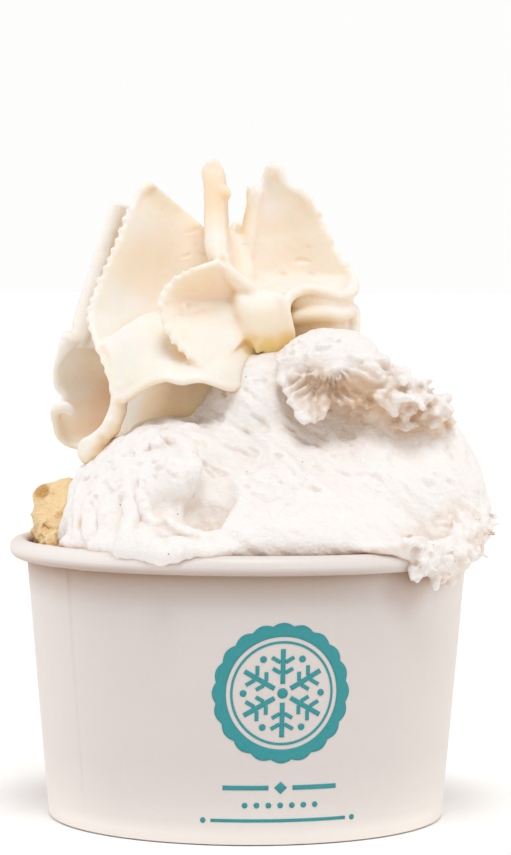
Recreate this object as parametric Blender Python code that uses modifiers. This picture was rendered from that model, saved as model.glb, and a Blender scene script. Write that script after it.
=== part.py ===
"""Gelato cup: a paper tub heaped with white gelato, a biscuit-coloured scoop and piped cream.

The origin is on the table, under the middle of the tub. +Z is up and -Y is the front.
Angles round the tub and round the cream are measured from the front (-Y) towards the right (+X).
"""

import math

import bmesh
import bpy
from mathutils import Matrix, Vector

MM = 0.001

# The tub, in millimetres.
CUP_HEIGHT = 52.7
RIM_RADIUS = 45.0
ROLL_RADIUS = 1.85
FOOT_RADIUS = 37.4
BOARD = 0.5
GAP = 0.3
FLOOR_HEIGHT = 7.0
FILL_HEIGHT = 49.0
HEM_HEIGHT = 5.6
SKIRT_LOW = 1.1
ROUND_STEPS = 56
ROLL_STEPS = 7
ROLL_END = -115.0

# The white gelato is fused from lumps: (middle, half sizes).
LUMPS = {
    "bed": ((4.0, 0.0, 49.5), (36.5, 41.5, 6.5)),
    "left_shoulder": ((-13.0, -8.0, 54.0), (21.8, 28.8, 21.8)),
    "front": ((2.0, -16.0, 52.4), (32.0, 25.4, 16.2)),
    "saddle": ((0.0, -1.0, 60.0), (17.0, 19.5, 24.5)),
    "mound": ((17.5, 1.0, 56.0), (28.6, 28.8, 29.2)),
    "rise": ((3.0, -6.0, 76.0), (10.8, 11.4, 13.0)),
    "back": ((6.0, 13.0, 52.0), (34.0, 27.0, 24.0)),
    "curl": ((15.5, -12.4, 86.2), (9.6, 9.6, 7.0)),
    "pit_wall": ((-13.4, -30.4, 65.4), (4.6, 5.8, 7.0)),
    "nub": ((-18.6, -38.0, 54.5), (2.4, 3.8, 3.6)),
}
# Ridges of gelato through (x, y, z, radius): one torn along the top with the fan that hangs
# under its curl, one slumped over the rim, one lapping on the rim, one in front of the hollow.
RIDGES = {
    "crest": (
        (9.0, -15.5, 86.4, 4.4),
        (17.0, -17.5, 85.4, 5.3),
        (25.0, -16.6, 82.4, 5.1),
        (32.0, -14.2, 79.3, 4.0),
        (37.5, -11.5, 76.4, 2.8),
    ),
    "fan": (
        (6.6, -17.4, 83.0, 2.2),
        (9.4, -19.0, 79.4, 2.8),
        (12.4, -19.2, 79.2, 2.8),
        (16.0, -18.6, 82.0, 2.6),
        (20.2, -18.8, 81.0, 2.6),
        (22.0, -17.4, 83.0, 2.0),
    ),
    "spill": (
        (22.0, -38.2, 53.8, 1.6),
        (27.0, -35.8, 53.0, 2.6),
        (31.5, -32.0, 50.8, 3.8),
        (36.2, -26.0, 50.2, 4.6),
        (40.0, -15.5, 53.8, 4.5),
        (42.0, -5.0, 56.0, 4.0),
        (41.4, 4.0, 57.6, 3.0),
    ),
    "front_lap": (
        (-35.0, -19.6, 52.4, 1.8),
        (-31.6, -25.4, 52.8, 2.5),
        (-26.6, -32.0, 53.0, 2.6),
        (-21.0, -38.0, 53.0, 2.8),
        (-14.0, -41.4, 53.0, 3.0),
        (-7.0, -42.0, 53.3, 2.6),
        (-1.0, -41.4, 53.0, 1.6),
    ),
    "pit_lip": (
        (-13.0, -35.4, 58.0, 1.9),
        (-8.0, -37.2, 55.8, 2.2),
        (-3.0, -37.8, 55.2, 2.3),
        (3.0, -37.6, 55.6, 2.2),
        (10.0, -36.4, 55.6, 2.0),
        (18.0, -35.0, 54.6, 1.6),
    ),
}
# Hollows left by a spoon: (middle, half sizes, lean backwards in degrees).
SCOOPS = {
    "groove": ((-5.6, -30.6, 66.5), (3.9, 3.5, 12.5), 38.0),
    "foot": ((-7.2, -34.4, 59.6), (4.2, 4.4, 5.0), 26.0),
}
# Places where the gelato has been pushed in or out: (middle, reach, push).
PUSHES = (
    ((26.0, -25.0, 68.0), 17.0, (-0.6, 1.6, -0.6)),
    ((15.0, -20.0, 73.5), 12.0, (0.0, 5.0, 0.0)),
    ((29.0, -17.0, 71.5), 9.0, (0.0, 2.6, 0.0)),
    ((-2.5, -26.0, 69.0), 9.0, (0.0, 2.6, -0.5)),
    ((1.5, -33.0, 62.5), 9.5, (0.0, 3.6, -1.2)),
    ((8.0, -31.0, 63.0), 9.0, (0.0, 1.6, -0.4)),
)
# The biscuit-coloured gelato at the back left.
BISCUIT_LUMPS = {
    "mound": ((-25.0, 12.0, 50.0), (17.0, 21.5, 12.0)),
    "knob": ((-35.0, 6.5, 57.2), (5.2, 8.4, 7.0)),
    "low": ((-35.6, 3.0, 53.6), (5.8, 8.4, 5.2)),
    "nub": ((-39.4, 3.0, 60.4), (2.2, 3.0, 2.6)),
    "foot": ((-33.0, -4.0, 50.4), (7.4, 12.4, 5.4)),
}
COLUMN = {"middle": (-26.0, 14.0), "radius": 24.0, "steps": 32}
# Gelato that stands over the rim is drawn in between these heights, so as to pass inside it.
TUCK_HIGH = 54.2
TUCK_LOW = 52.0
HEAP_VOXEL = 1.4
HEAP_SOFTEN = 5
WHITE_TRIANGLES = 1960
BISCUIT_TRIANGLES = 380

# The piped cream: sheets that stand out from a core. Each goes from its root line to its rim,
# both through (x, y, z) stations; "belly" swells it between them, and "fall" over 1 keeps it
# level from the root and drops it near the rim.
CREAM_AXIS = (-7.0, 9.0)
CORE = ((60.0, 20.0), (74.0, 19.0), (84.0, 14.0), (92.0, 9.0), (99.0, 5.6), (106.0, 3.4), (109.0, 2.0))
PETALS = {
    "left": {
        "rim": (
            (-19.2, 6.0, 119.8),
            (-23.2, 3.0, 113.4),
            (-25.6, 0.4, 107.6),
            (-28.0, -2.4, 101.2),
            (-29.4, -5.0, 95.4),
            (-28.2, -8.2, 89.4),
            (-25.4, -11.6, 82.8),
            (-23.8, -13.0, 77.8),
        ),
        "root": (
            (-9.5, 8.0, 111.2),
            (-8.6, 6.0, 104.0),
            (-8.0, 3.0, 98.0),
            (-12.0, -3.0, 92.0),
            (-18.0, -10.0, 83.0),
        ),
        "belly": (0.0, 2.0, 0.0),
    },
    "lower_lip": {
        "rim": (
            (-24.2, -13.0, 79.4),
            (-20.3, -15.4, 80.8),
            (-15.6, -17.8, 82.8),
            (-10.5, -18.0, 82.8),
            (-6.0, -17.2, 82.2),
            (1.0, -11.0, 82.0),
        ),
        "root": (
            (-27.0, -8.5, 88.5),
            (-20.0, -5.0, 93.0),
            (-12.0, -3.0, 94.5),
            (-4.0, -5.0, 92.0),
            (2.0, -7.0, 86.0),
        ),
        "belly": (0.0, 0.0, 0.8),
        "fall": 1.4,
    },
    "spine": {
        "rim": (
            (-6.7, -0.6, 121.6),
            (-6.3, -2.3, 117.5),
            (-6.3, -4.0, 113.7),
            (-6.2, -6.5, 110.2),
            (-6.1, -9.0, 107.2),
            (-5.6, -11.0, 105.0),
        ),
        "root": ((-6.0, 6.0, 118.0), (-5.4, 7.0, 110.0), (-4.0, 4.0, 102.0), (-3.0, 0.0, 99.0)),
    },
    "scroll": {
        "rim": (
            (-5.0, -12.0, 104.6),
            (-9.9, -14.0, 103.0),
            (-14.0, -15.6, 100.2),
            (-15.6, -16.3, 96.6),
            (-14.2, -16.8, 91.8),
            (-11.0, -16.8, 87.6),
            (-8.1, -16.8, 84.0),
        ),
        "root": (
            (1.0, -4.0, 98.4),
            (-3.0, -5.0, 97.2),
            (-8.0, -8.0, 96.8),
            (-12.0, -12.0, 96.3),
            (-7.0, -8.0, 96.0),
            (-1.0, -6.0, 95.6),
            (3.0, -7.0, 93.0),
        ),
        "belly": (0.0, 0.8, 0.0),
    },
    "right": {
        "rim": (
            (4.6, 6.0, 122.0),
            (9.6, 6.0, 117.8),
            (13.2, 6.8, 112.0),
            (16.2, 7.0, 106.2),
            (19.4, 6.0, 101.4),
            (18.0, 0.0, 98.8),
            (14.5, -3.0, 99.2),
            (9.2, -6.4, 99.2),
            (7.0, -8.4, 95.8),
            (8.2, -8.8, 92.0),
        ),
        "root": (
            (1.6, 6.5, 118.0),
            (0.0, 6.2, 113.0),
            (-1.0, 5.0, 107.5),
            (-2.0, 3.0, 102.5),
            (-2.0, -1.0, 100.2),
            (-1.0, -6.0, 98.6),
        ),
        "belly": (0.0, 1.6, -0.6),
    },
    "tongue": {
        "rim": (
            (7.0, -8.0, 96.6),
            (8.0, -8.6, 92.0),
            (5.0, -9.8, 89.4),
            (1.0, -10.0, 90.4),
            (-1.6, -8.4, 94.0),
            (-2.6, -6.5, 97.5),
        ),
        "root": (
            (6.6, -6.6, 98.2),
            (5.0, -6.4, 98.6),
            (2.6, -6.2, 98.8),
            (0.0, -6.0, 98.8),
            (-1.5, -6.0, 98.6),
        ),
        "belly": (0.0, -1.2, 0.8),
    },
    "far_high": {
        "rim": (
            (-26.0, 11.0, 115.9),
            (-28.2, 10.6, 110.0),
            (-29.6, 9.9, 104.0),
            (-31.2, 9.2, 98.6),
            (-32.8, 8.2, 93.0),
            (-34.0, 7.2, 88.4),
        ),
        "root": (
            (-11.0, 12.0, 111.0),
            (-12.0, 12.0, 105.0),
            (-13.0, 12.0, 98.0),
            (-15.0, 12.0, 92.0),
            (-17.0, 12.0, 86.0),
        ),
        "belly": (0.0, 2.0, 0.0),
    },
    "far_low": {
        "rim": (
            (-33.2, 5.5, 91.0),
            (-36.4, 8.2, 85.0),
            (-35.6, 9.8, 79.4),
            (-36.9, 8.6, 75.4),
            (-36.2, 9.0, 71.4),
            (-31.0, 9.0, 69.4),
        ),
        "root": (
            (-22.0, 12.0, 91.0),
            (-22.0, 16.0, 86.0),
            (-21.0, 18.0, 80.0),
            (-21.0, 16.0, 74.0),
            (-22.0, 11.0, 69.0),
        ),
        "belly": (0.0, 3.0, 0.0),
    },
}
# The petals behind are alike: stations round the axis of (turn, reach, z), and their turns.
BEHIND_TURNS = (134.0, 173.0, -147.0)
BEHIND_RIM = ((-4, 25.5, 74), (-3, 28.0, 84), (-1, 27.0, 93), (3, 21.5, 102), (9, 12.5, 109.6))
BEHIND_ROOT = ((6, 8, 76), (6, 6, 90), (4, 3, 100), (2, 2.5, 106))
# Thick folds of cream through (x, y, z, radius), and single lumps of it (middle, half sizes).
FOLDS = {
    "spine": (
        (-6.7, -0.6, 122.6, 2.0),
        (-6.4, -1.4, 118.0, 2.8),
        (-6.3, -3.6, 113.0, 2.8),
        (-6.2, -6.6, 108.6, 2.8),
        (-6.0, -8.6, 104.6, 2.8),
        (-5.0, -8.6, 100.0, 2.6),
    ),
    "arm": (
        (-23.4, -11.5, 80.0, 2.3),
        (-24.6, -12.6, 75.8, 2.4),
        (-26.7, -12.2, 72.3, 2.3),
        (-29.0, -11.5, 69.8, 2.2),
        (-30.6, -11.0, 67.2, 1.8),
    ),
    "far_lip": (
        (-26.0, 10.8, 113.0, 1.5),
        (-28.5, 9.8, 104.9, 2.0),
        (-31.0, 8.6, 95.7, 2.4),
        (-33.0, 7.0, 88.6, 2.0),
    ),
    "neck": (
        (-5.8, -11.0, 104.8, 1.6),
        (-3.2, -9.2, 102.4, 1.8),
        (-0.8, -7.0, 100.2, 2.0),
        (1.6, -5.2, 98.4, 1.8),
    ),
    "wave": (
        (6.5, -5.2, 93.8, 1.9),
        (13.6, -3.0, 95.0, 2.0),
        (19.0, 2.0, 95.6, 1.9),
        (20.0, 5.0, 96.0, 1.8),
    ),
    "wave_back": (
        (7.0, -4.4, 97.0, 1.8),
        (12.0, -2.8, 97.4, 2.1),
        (17.0, 0.6, 96.8, 2.1),
        (19.2, 4.0, 97.4, 1.8),
    ),
    "web": (
        (-4.0, 4.0, 112.0, 1.9),
        (-2.6, 3.4, 107.0, 2.6),
        (-1.6, 2.0, 102.5, 3.1),
        (-1.4, -1.0, 98.0, 3.3),
    ),
    "right_foot": ((19.8, 5.5, 97.0, 1.6), (19.6, 4.5, 93.0, 2.0), (19.4, 4.0, 88.0, 2.1)),
}
CREAM_LUMPS = {
    "bulb": ((-5.0, -2.2, 118.0), (1.8, 1.9, 2.2)),
    "belly": ((8.0, 5.0, 91.0), (12.6, 10.6, 7.8)),
    "heart": ((-3.0, -0.6, 91.6), (8.2, 8.2, 7.2)),
}
PETAL_ALONG = 14
PETAL_ACROSS = 7
ROOT_THICKNESS = 4.0
EDGE_THICKNESS = 2.3
CREAM_VOXEL = 1.0
CREAM_TRIANGLES = 2500

COLOURS = {
    "paper": (0.80, 0.76, 0.73, 1.0),
    "white_gelato": (0.94, 0.91, 0.87, 1.0),
    "biscuit_gelato": (0.86, 0.66, 0.40, 1.0),
    "cream": (0.93, 0.86, 0.74, 1.0),
}
ROUGHNESS = {"paper": 0.6, "white_gelato": 0.5, "biscuit_gelato": 0.55, "cream": 0.45}


def wall_radius(z):
    """Middle of the side wall's board at a height, up to the roll's middle."""
    top = RIM_RADIUS - 2 * ROLL_RADIUS + BOARD / 2
    foot = FOOT_RADIUS - BOARD / 2
    return foot + (top - foot) * z / (CUP_HEIGHT - ROLL_RADIUS)


def around(turn, distance, z, centre=(0.0, 0.0)):
    """The point at an angle from the front, a distance from a centre and a height."""
    angle = math.radians(turn)
    x = centre[0] + distance * math.sin(angle)
    y = centre[1] - distance * math.cos(angle)
    return Vector((x, y, z))


def smooth(stations, t):
    """A Catmull-Rom curve through evenly spaced stations, for t from 0 to 1."""
    last = len(stations) - 1
    at = min(max(t, 0.0), 1.0) * last
    i = min(int(at), last - 1)
    f = at - i
    a, b = Vector(stations[i]), Vector(stations[i + 1])
    before = Vector(stations[i - 1]) if i > 0 else 2 * a - b
    after = Vector(stations[i + 2]) if i + 2 <= last else 2 * b - a
    square, cube = f * f, f * f * f
    return 0.5 * (
        2 * a
        + (b - before) * f
        + (2 * before - 5 * a + 4 * b - after) * square
        + (3 * a - before - 3 * b + after) * cube
    )


def material(name):
    made = bpy.data.materials.new(name)
    made.use_nodes = True
    shader = made.node_tree.nodes["Principled BSDF"]
    shader.inputs["Base Color"].default_value = COLOURS[name]
    shader.inputs["Roughness"].default_value = ROUGHNESS[name]
    shader.inputs["Metallic"].default_value = 0.0
    return made


def collection(name):
    made = bpy.data.collections.new(name)
    bpy.context.scene.collection.children.link(made)
    return made


def object_from(name, mesh, group):
    made = bpy.data.objects.new(name, mesh)
    group.objects.link(made)
    return made


def mesh_from(bm, name):
    """A mesh of the bmesh, which is in millimetres, in metres."""
    bmesh.ops.scale(bm, vec=(MM, MM, MM), verts=bm.verts)
    mesh = bpy.data.meshes.new(name)
    bm.to_mesh(mesh)
    bm.free()
    return mesh


def turned(name, profile, group, closed=False, thickness=0.0):
    """A profile of (radius, z) in millimetres turned round Z with a Screw modifier."""
    bm = bmesh.new()
    points = [bm.verts.new((r, 0.0, z)) for r, z in profile]
    pairs = list(zip(points, points[1:]))
    if closed:
        pairs.append((points[-1], points[0]))
    for a, b in pairs:
        bm.edges.new((a, b))
    made = object_from(name, mesh_from(bm, name), group)
    screw = made.modifiers.new("Turn", "SCREW")
    screw.steps = ROUND_STEPS
    screw.render_steps = ROUND_STEPS
    screw.use_merge_vertices = True
    screw.merge_threshold = 0.00001
    screw.use_smooth_shade = False
    if thickness:
        solid = made.modifiers.new("Board", "SOLIDIFY")
        solid.thickness = thickness * MM
        solid.offset = 0.0
        solid.use_even_offset = True
    return made


def helper(made):
    """Marks a cutter, which is kept out of the render and of the nodes."""
    made.hide_render = True
    made.display_type = "WIRE"
    return made


def cut(target, cutter, operation="DIFFERENCE"):
    boolean = target.modifiers.new(operation.title() + " " + cutter.name, "BOOLEAN")
    boolean.operation = operation
    boolean.solver = "EXACT"
    boolean.use_self = True
    boolean.object = cutter
    return boolean


def baked(made):
    """Replaces the object's mesh by what its modifiers make of it."""
    bpy.context.view_layer.update()
    graph = bpy.context.evaluated_depsgraph_get()
    mesh = bpy.data.meshes.new_from_object(made.evaluated_get(graph))
    made.modifiers.clear()
    made.data = mesh
    return made


# ---- the tub ----


def roll_point(angle, radius):
    centre = RIM_RADIUS - ROLL_RADIUS
    level = CUP_HEIGHT - ROLL_RADIUS
    a = math.radians(angle)
    return centre + radius * math.cos(a), level + radius * math.sin(a)


def make_wall(group):
    """The side wall: a hem folded up inside the foot, the cone, and the rim rolled outwards."""
    hem = 2 * BOARD + 2 * GAP
    profile = [(wall_radius(HEM_HEIGHT) - hem, HEM_HEIGHT)]
    profile.append((wall_radius(0) - hem, BOARD / 2))
    profile.append((wall_radius(0), BOARD / 2))
    for step in range(ROLL_STEPS + 1):
        angle = 180.0 + (ROLL_END - 180.0) * step / ROLL_STEPS
        profile.append(roll_point(angle, ROLL_RADIUS - BOARD / 2))
    return turned("cup_wall", profile, group, thickness=BOARD)


def make_base(group):
    """The base panel with its skirt, which goes down between the wall and the hem."""
    inset = BOARD + GAP
    level = FLOOR_HEIGHT - BOARD / 2
    profile = [
        (0.0, level),
        (wall_radius(level) - inset, level),
        (wall_radius(SKIRT_LOW) - inset, SKIRT_LOW),
    ]
    return turned("cup_base", profile, group, thickness=BOARD)


def make_wall_room(group):
    """The wall and its roll, thicker by the gap, to cut what lies against them."""
    clear = BOARD / 2 + GAP
    low, level = -3.0, CUP_HEIGHT - ROLL_RADIUS
    profile = [(wall_radius(0) + clear, low), (wall_radius(level - 3) + clear, level - 3)]
    for step in range(13):
        angle = -100.0 + 280.0 * step / 12
        profile.append(roll_point(angle, ROLL_RADIUS + GAP))
    profile.append((wall_radius(0) - clear, low))
    room = turned("wall_room", profile[::-1], group, closed=True)
    return helper(room)


def make_fill(group):
    """What the tub holds below its rim."""
    low = FLOOR_HEIGHT + GAP
    clear = BOARD / 2 + GAP
    profile = [
        (0.0, FILL_HEIGHT),
        (wall_radius(FILL_HEIGHT) - clear, FILL_HEIGHT),
        (wall_radius(low) - clear, low),
        (0.0, low),
    ]
    return turned("fill", profile, group)


# ---- the white gelato ----


def ellipsoid(bm, middle, half, across=32, down=20):
    """Adds an ellipsoid in millimetres to the bmesh."""
    made = bmesh.ops.create_uvsphere(bm, u_segments=across, v_segments=down, radius=1.0)
    for v in made["verts"]:
        v.co = Vector(middle) + Vector([c * h for c, h in zip(v.co, half)])


def ridge(bm, stations, steps=12, sides=14):
    """Adds a closed tube of changing thickness through (x, y, z, radius) stations."""
    rings = []
    for i in range(steps + 1):
        *middle, radius = smooth(stations, i / steps)
        before = smooth(stations, (i - 0.5) / steps)
        after = smooth(stations, (i + 0.5) / steps)
        ahead = (after - before).to_3d().normalized()
        side = ahead.cross(Vector((0.0, 0.0, 1.0))).normalized()
        up = side.cross(ahead)
        end = min(i, steps - i) / 2
        radius *= 0.5 if end == 0 else (0.85 if end < 1 else 1.0)
        ring = []
        for j in range(sides):
            a = math.tau * j / sides
            place = Vector(middle) + (side * math.cos(a) + up * math.sin(a)) * radius
            ring.append(bm.verts.new(place))
        rings.append(ring)
    for a, b in zip(rings, rings[1:]):
        for j in range(sides):
            k = (j + 1) % sides
            bm.faces.new((a[j], a[k], b[k], b[j]))
    bm.faces.new(rings[0][::-1])
    bm.faces.new(rings[-1])


def push(co, middle, reach, shift):
    """Moves a point by the shift, less and less with its distance from the middle."""
    away = (co - Vector(middle)).length / reach
    if away >= 1.0:
        return co
    return co + Vector(shift) * (1.0 - away * away) ** 2


def fused(made, voxel, soften, triangles, pushes=()):
    """Fuses the overlapping bodies of a mesh into one, softens it and thins it out."""
    remesh = made.modifiers.new("Fuse", "REMESH")
    remesh.mode = "VOXEL"
    remesh.voxel_size = voxel * MM
    blur = made.modifiers.new("Soften", "SMOOTH")
    blur.iterations = soften
    baked(made)
    for v in made.data.vertices:
        co = v.co / MM
        for middle, reach, shift in pushes:
            co = push(co, middle, reach, shift)
        v.co = co * MM
    thin = made.modifiers.new("Thin", "DECIMATE")
    thin.ratio = triangles / sum(len(p.vertices) - 2 for p in made.data.polygons)
    return baked(made)


def tuck(co):
    """Draws a point in under the rim if it is low and outside the tub."""
    low = min(max((TUCK_HIGH - co.z) / (TUCK_HIGH - TUCK_LOW), 0.0), 1.0)
    flat = math.hypot(co.x, co.y)
    over = flat - (RIM_RADIUS - 2 * ROLL_RADIUS - 1.0)
    if over <= 0.0 or low <= 0.0:
        return co
    share = 1.0 - low * low * (3 - 2 * low) * over / flat
    return Vector((co.x * share, co.y * share, co.z))


def make_heap(name, lumps, ridges, pushes, triangles, group):
    """Lumps that are tucked into the tub, and ridges that may hang over its rim."""
    bm = bmesh.new()
    for middle, half in lumps.values():
        ellipsoid(bm, middle, half)
    for v in bm.verts:
        v.co = tuck(v.co)
    for stations in ridges.values():
        ridge(bm, stations)
    bmesh.ops.recalc_face_normals(bm, faces=bm.faces)
    heap = object_from(name, mesh_from(bm, name), group)
    return helper(fused(heap, HEAP_VOXEL, HEAP_SOFTEN, triangles, pushes))


def grown(made, name, amount, group):
    """A copy whose surface is moved outwards along its normals."""
    copy = object_from(name, made.data.copy(), group)
    swell = copy.modifiers.new("Room", "DISPLACE")
    swell.mid_level = 0.0
    swell.strength = amount * MM
    return helper(copy)


# ---- the biscuit-coloured gelato ----


def make_column(name, group, grow=0.0):
    """The share of the tub that the biscuit-coloured gelato takes, from floor to rim."""
    bm = bmesh.new()
    radius = COLUMN["radius"] + grow
    bmesh.ops.create_cone(
        bm, cap_ends=True, segments=COLUMN["steps"], radius1=radius, radius2=radius, depth=60.0
    )
    x, y = COLUMN["middle"]
    bmesh.ops.translate(bm, vec=(x, y, FILL_HEIGHT + grow - 30.0), verts=bm.verts)
    return object_from(name, mesh_from(bm, name), group)


# ---- the piped cream ----


def make_core(group):
    profile = [(0.0, CORE[-1][0] + 2.0)]
    profile += [(radius, z) for z, radius in reversed(CORE)]
    profile.append((0.0, CORE[0][0]))
    core = turned("cream_core", profile, group)
    core.location = (CREAM_AXIS[0] * MM, CREAM_AXIS[1] * MM, 0.0)
    return core


def make_petal(name, petal, group):
    """A sheet from its root line out to its rim, thinner towards the rim."""
    bm = bmesh.new()
    bmesh.ops.create_grid(bm, x_segments=PETAL_ALONG, y_segments=PETAL_ACROSS, size=0.5)
    thin = []
    for v in bm.verts:
        along, across = v.co.x + 0.5, v.co.y + 0.5
        rim, root = smooth(petal["rim"], along), smooth(petal["root"], along)
        place = root.lerp(rim, across)
        place.z = root.z + (rim.z - root.z) * across ** petal.get("fall", 1.0)
        belly = Vector(petal.get("belly", (0.0, 0.0, 0.0)))
        v.co = place + belly * math.sin(math.pi * across)
        thin.append(across)
    made = object_from(name, mesh_from(bm, name), group)
    taper = made.vertex_groups.new(name="taper")
    for i, across in enumerate(thin):
        taper.add([i], 1.0 - across * (1.0 - EDGE_THICKNESS / ROOT_THICKNESS), "REPLACE")
    solid = made.modifiers.new("Thickness", "SOLIDIFY")
    solid.thickness = ROOT_THICKNESS * MM
    solid.offset = 0.0
    solid.vertex_group = "taper"
    return made


def petal_behind(turn):
    """The lines of one of the petals behind, which stands at a turn round the axis."""
    rim = [around(turn + slip, reach, z, CREAM_AXIS) for slip, reach, z in BEHIND_RIM]
    root = [around(turn + slip, reach, z, CREAM_AXIS) for slip, reach, z in BEHIND_ROOT]
    return {"rim": rim, "root": root}


def make_folds(group):
    """The thick folds and the lumps of cream, as closed bodies that overlap."""
    bm = bmesh.new()
    for middle, half in CREAM_LUMPS.values():
        ellipsoid(bm, middle, half)
    for stations in FOLDS.values():
        ridge(bm, stations)
    bmesh.ops.recalc_face_normals(bm, faces=bm.faces)
    return object_from("cream_folds", mesh_from(bm, "cream_folds"), group)


def make_cream(group, cutters):
    """The core, the petals and the folds fused into one body."""
    pieces = [make_core(cutters), make_folds(cutters)]
    pieces += [make_petal("petal_" + name, petal, cutters) for name, petal in PETALS.items()]
    pieces += [make_petal("petal_behind", petal_behind(turn), cutters) for turn in BEHIND_TURNS]
    bpy.context.view_layer.update()
    graph = bpy.context.evaluated_depsgraph_get()
    bm = bmesh.new()
    for piece in pieces:
        mesh = bpy.data.meshes.new_from_object(piece.evaluated_get(graph))
        mesh.transform(piece.matrix_world)
        bm.from_mesh(mesh)
        bpy.data.meshes.remove(mesh)
        bpy.data.objects.remove(piece)
    mesh = bpy.data.meshes.new("whipped_cream")
    bm.to_mesh(mesh)
    bm.free()
    cream = object_from("whipped_cream", mesh, group)
    return fused(cream, CREAM_VOXEL, 2, CREAM_TRIANGLES)


def make_scoop(name, middle, half, lean, group):
    """A cutter in the shape of a spoon's bowl, leaning backwards."""
    bm = bmesh.new()
    ellipsoid(bm, (0.0, 0.0, 0.0), half, 24, 14)
    turn = Matrix.Rotation(math.radians(-lean), 4, "X")
    bmesh.ops.transform(bm, matrix=Matrix.Translation(middle) @ turn, verts=bm.verts)
    return helper(object_from(name, mesh_from(bm, name), group))


def one_piece(made):
    """Keeps the largest body of what the object's modifiers make of it."""
    baked(made)
    bm = bmesh.new()
    bm.from_mesh(made.data)
    left, bodies = set(bm.verts), []
    while left:
        body, edge = [], [left.pop()]
        while edge:
            v = edge.pop()
            body.append(v)
            for link in v.link_edges:
                other = link.other_vert(v)
                if other in left:
                    left.remove(other)
                    edge.append(other)
        bodies.append(body)
    bodies.sort(key=len)
    for body in bodies[:-1]:
        bmesh.ops.delete(bm, geom=body, context="VERTS")
    bm.to_mesh(made.data)
    bm.free()
    return made


def clear_scene():
    for old in list(bpy.data.objects):
        bpy.data.objects.remove(old)


def build():
    clear_scene()
    group = collection("gelato_cup")
    cutters = collection("cutters")

    wall = make_wall(group)
    base = make_base(group)
    room = make_wall_room(cutters)

    heap = make_heap("heap", LUMPS, RIDGES, PUSHES, WHITE_TRIANGLES, cutters)
    mound = make_heap("mound", BISCUIT_LUMPS, {}, (), BISCUIT_TRIANGLES, cutters)
    mound_room = grown(mound, "mound_room", GAP + 0.1, cutters)

    white = make_fill(group)
    white.name = "white_gelato"
    cut(white, heap, "UNION")
    cut(white, helper(make_column("column_room", cutters, GAP)))
    cut(white, mound_room)
    cut(white, room)
    for name, (middle, half, lean) in SCOOPS.items():
        cut(white, make_scoop("scoop_" + name, middle, half, lean, cutters))

    tan = make_fill(group)
    tan.name = "biscuit_gelato"
    cut(tan, helper(make_column("column", cutters)), "INTERSECT")
    cut(tan, mound, "UNION")
    cut(tan, room)

    cream = make_cream(group, cutters)
    cut(cream, grown(heap, "heap_room", GAP + 0.1, cutters))
    cut(cream, mound_room)
    for piece in (white, tan, cream):
        one_piece(piece)

    finishes = ((wall, "paper"), (base, "paper"), (white, "white_gelato"))
    finishes += ((tan, "biscuit_gelato"), (cream, "cream"))
    made = {name: material(name) for name in COLOURS}
    for piece, name in finishes:
        piece.data.materials.append(made[name])


build()
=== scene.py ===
# Gelato tub with a piped swirl of cream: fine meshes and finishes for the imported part.
# Shapes are worked in millimetres and put into metres when a piece is finished.
# A turn is an angle round the tub or the swirl, in degrees from the front (-Y) towards +X.
import math
import random

import bmesh
import bpy
import numpy as np
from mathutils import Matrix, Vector, noise
from mathutils.bvhtree import BVHTree


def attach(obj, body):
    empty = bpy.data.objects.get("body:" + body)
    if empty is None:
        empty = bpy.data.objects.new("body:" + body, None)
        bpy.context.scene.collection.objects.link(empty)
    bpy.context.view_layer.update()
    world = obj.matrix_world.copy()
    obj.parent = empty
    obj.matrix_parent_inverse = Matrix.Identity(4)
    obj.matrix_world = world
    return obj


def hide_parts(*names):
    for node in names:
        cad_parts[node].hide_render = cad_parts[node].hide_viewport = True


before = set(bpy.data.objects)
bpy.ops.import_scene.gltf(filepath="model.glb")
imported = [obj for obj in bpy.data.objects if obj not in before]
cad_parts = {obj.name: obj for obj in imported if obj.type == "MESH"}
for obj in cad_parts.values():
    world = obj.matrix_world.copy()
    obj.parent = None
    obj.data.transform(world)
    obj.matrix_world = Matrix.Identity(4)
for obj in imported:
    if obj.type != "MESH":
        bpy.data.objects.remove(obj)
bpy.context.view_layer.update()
mm = 0.001


def deselectAll():
    if bpy.context.object and bpy.context.object.mode != "OBJECT":
        bpy.ops.object.mode_set(mode="OBJECT")
    bpy.ops.object.select_all(action="DESELECT")


def pick(*pieces):
    deselectAll()
    for piece in pieces:
        piece.select_set(True)
    bpy.context.view_layer.objects.active = pieces[0]


def around(turn, reach, z, centre=(0.0, 0.0)):
    a = math.radians(turn)
    return Vector((centre[0] + reach * math.sin(a), centre[1] - reach * math.cos(a), z))


def smoothStep(low, high, x):
    t = np.clip((np.asarray(x, float) - low) / (high - low), 0.0, 1.0)
    return t * t * (3 - 2 * t)


# a smooth line through evenly spaced stations, t from 0 to 1
def lineAt(stations, t):
    last = len(stations) - 1
    at = min(max(t, 0.0), 1.0) * last
    i = min(int(at), last - 1)
    f = at - i
    a, b = np.array(stations[i], float), np.array(stations[i + 1], float)
    before = np.array(stations[i - 1], float) if i > 0 else 2 * a - b
    after = np.array(stations[i + 2], float) if i + 2 <= last else 2 * b - a
    bend = 2 * before - 5 * a + 4 * b - after
    return 0.5 * (2 * a + (b - before) * f + bend * f * f + (3 * a - before - 3 * b + after) * f**3)


def readPoints(piece):
    flat = np.empty(len(piece.data.vertices) * 3)
    piece.data.vertices.foreach_get("co", flat)
    return flat.reshape(-1, 3)


def writePoints(piece, points):
    piece.data.vertices.foreach_set("co", np.asarray(points, float).ravel())
    piece.data.update()


def readNormals(piece):
    flat = np.empty(len(piece.data.vertices) * 3, np.float32)
    piece.data.vertex_normals.foreach_get("vector", flat)
    return flat.reshape(-1, 3).astype(float)


def applyAll(piece):
    pick(piece)
    for modifier in list(piece.modifiers):
        bpy.ops.object.modifier_apply(modifier=modifier.name)
    return piece


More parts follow.
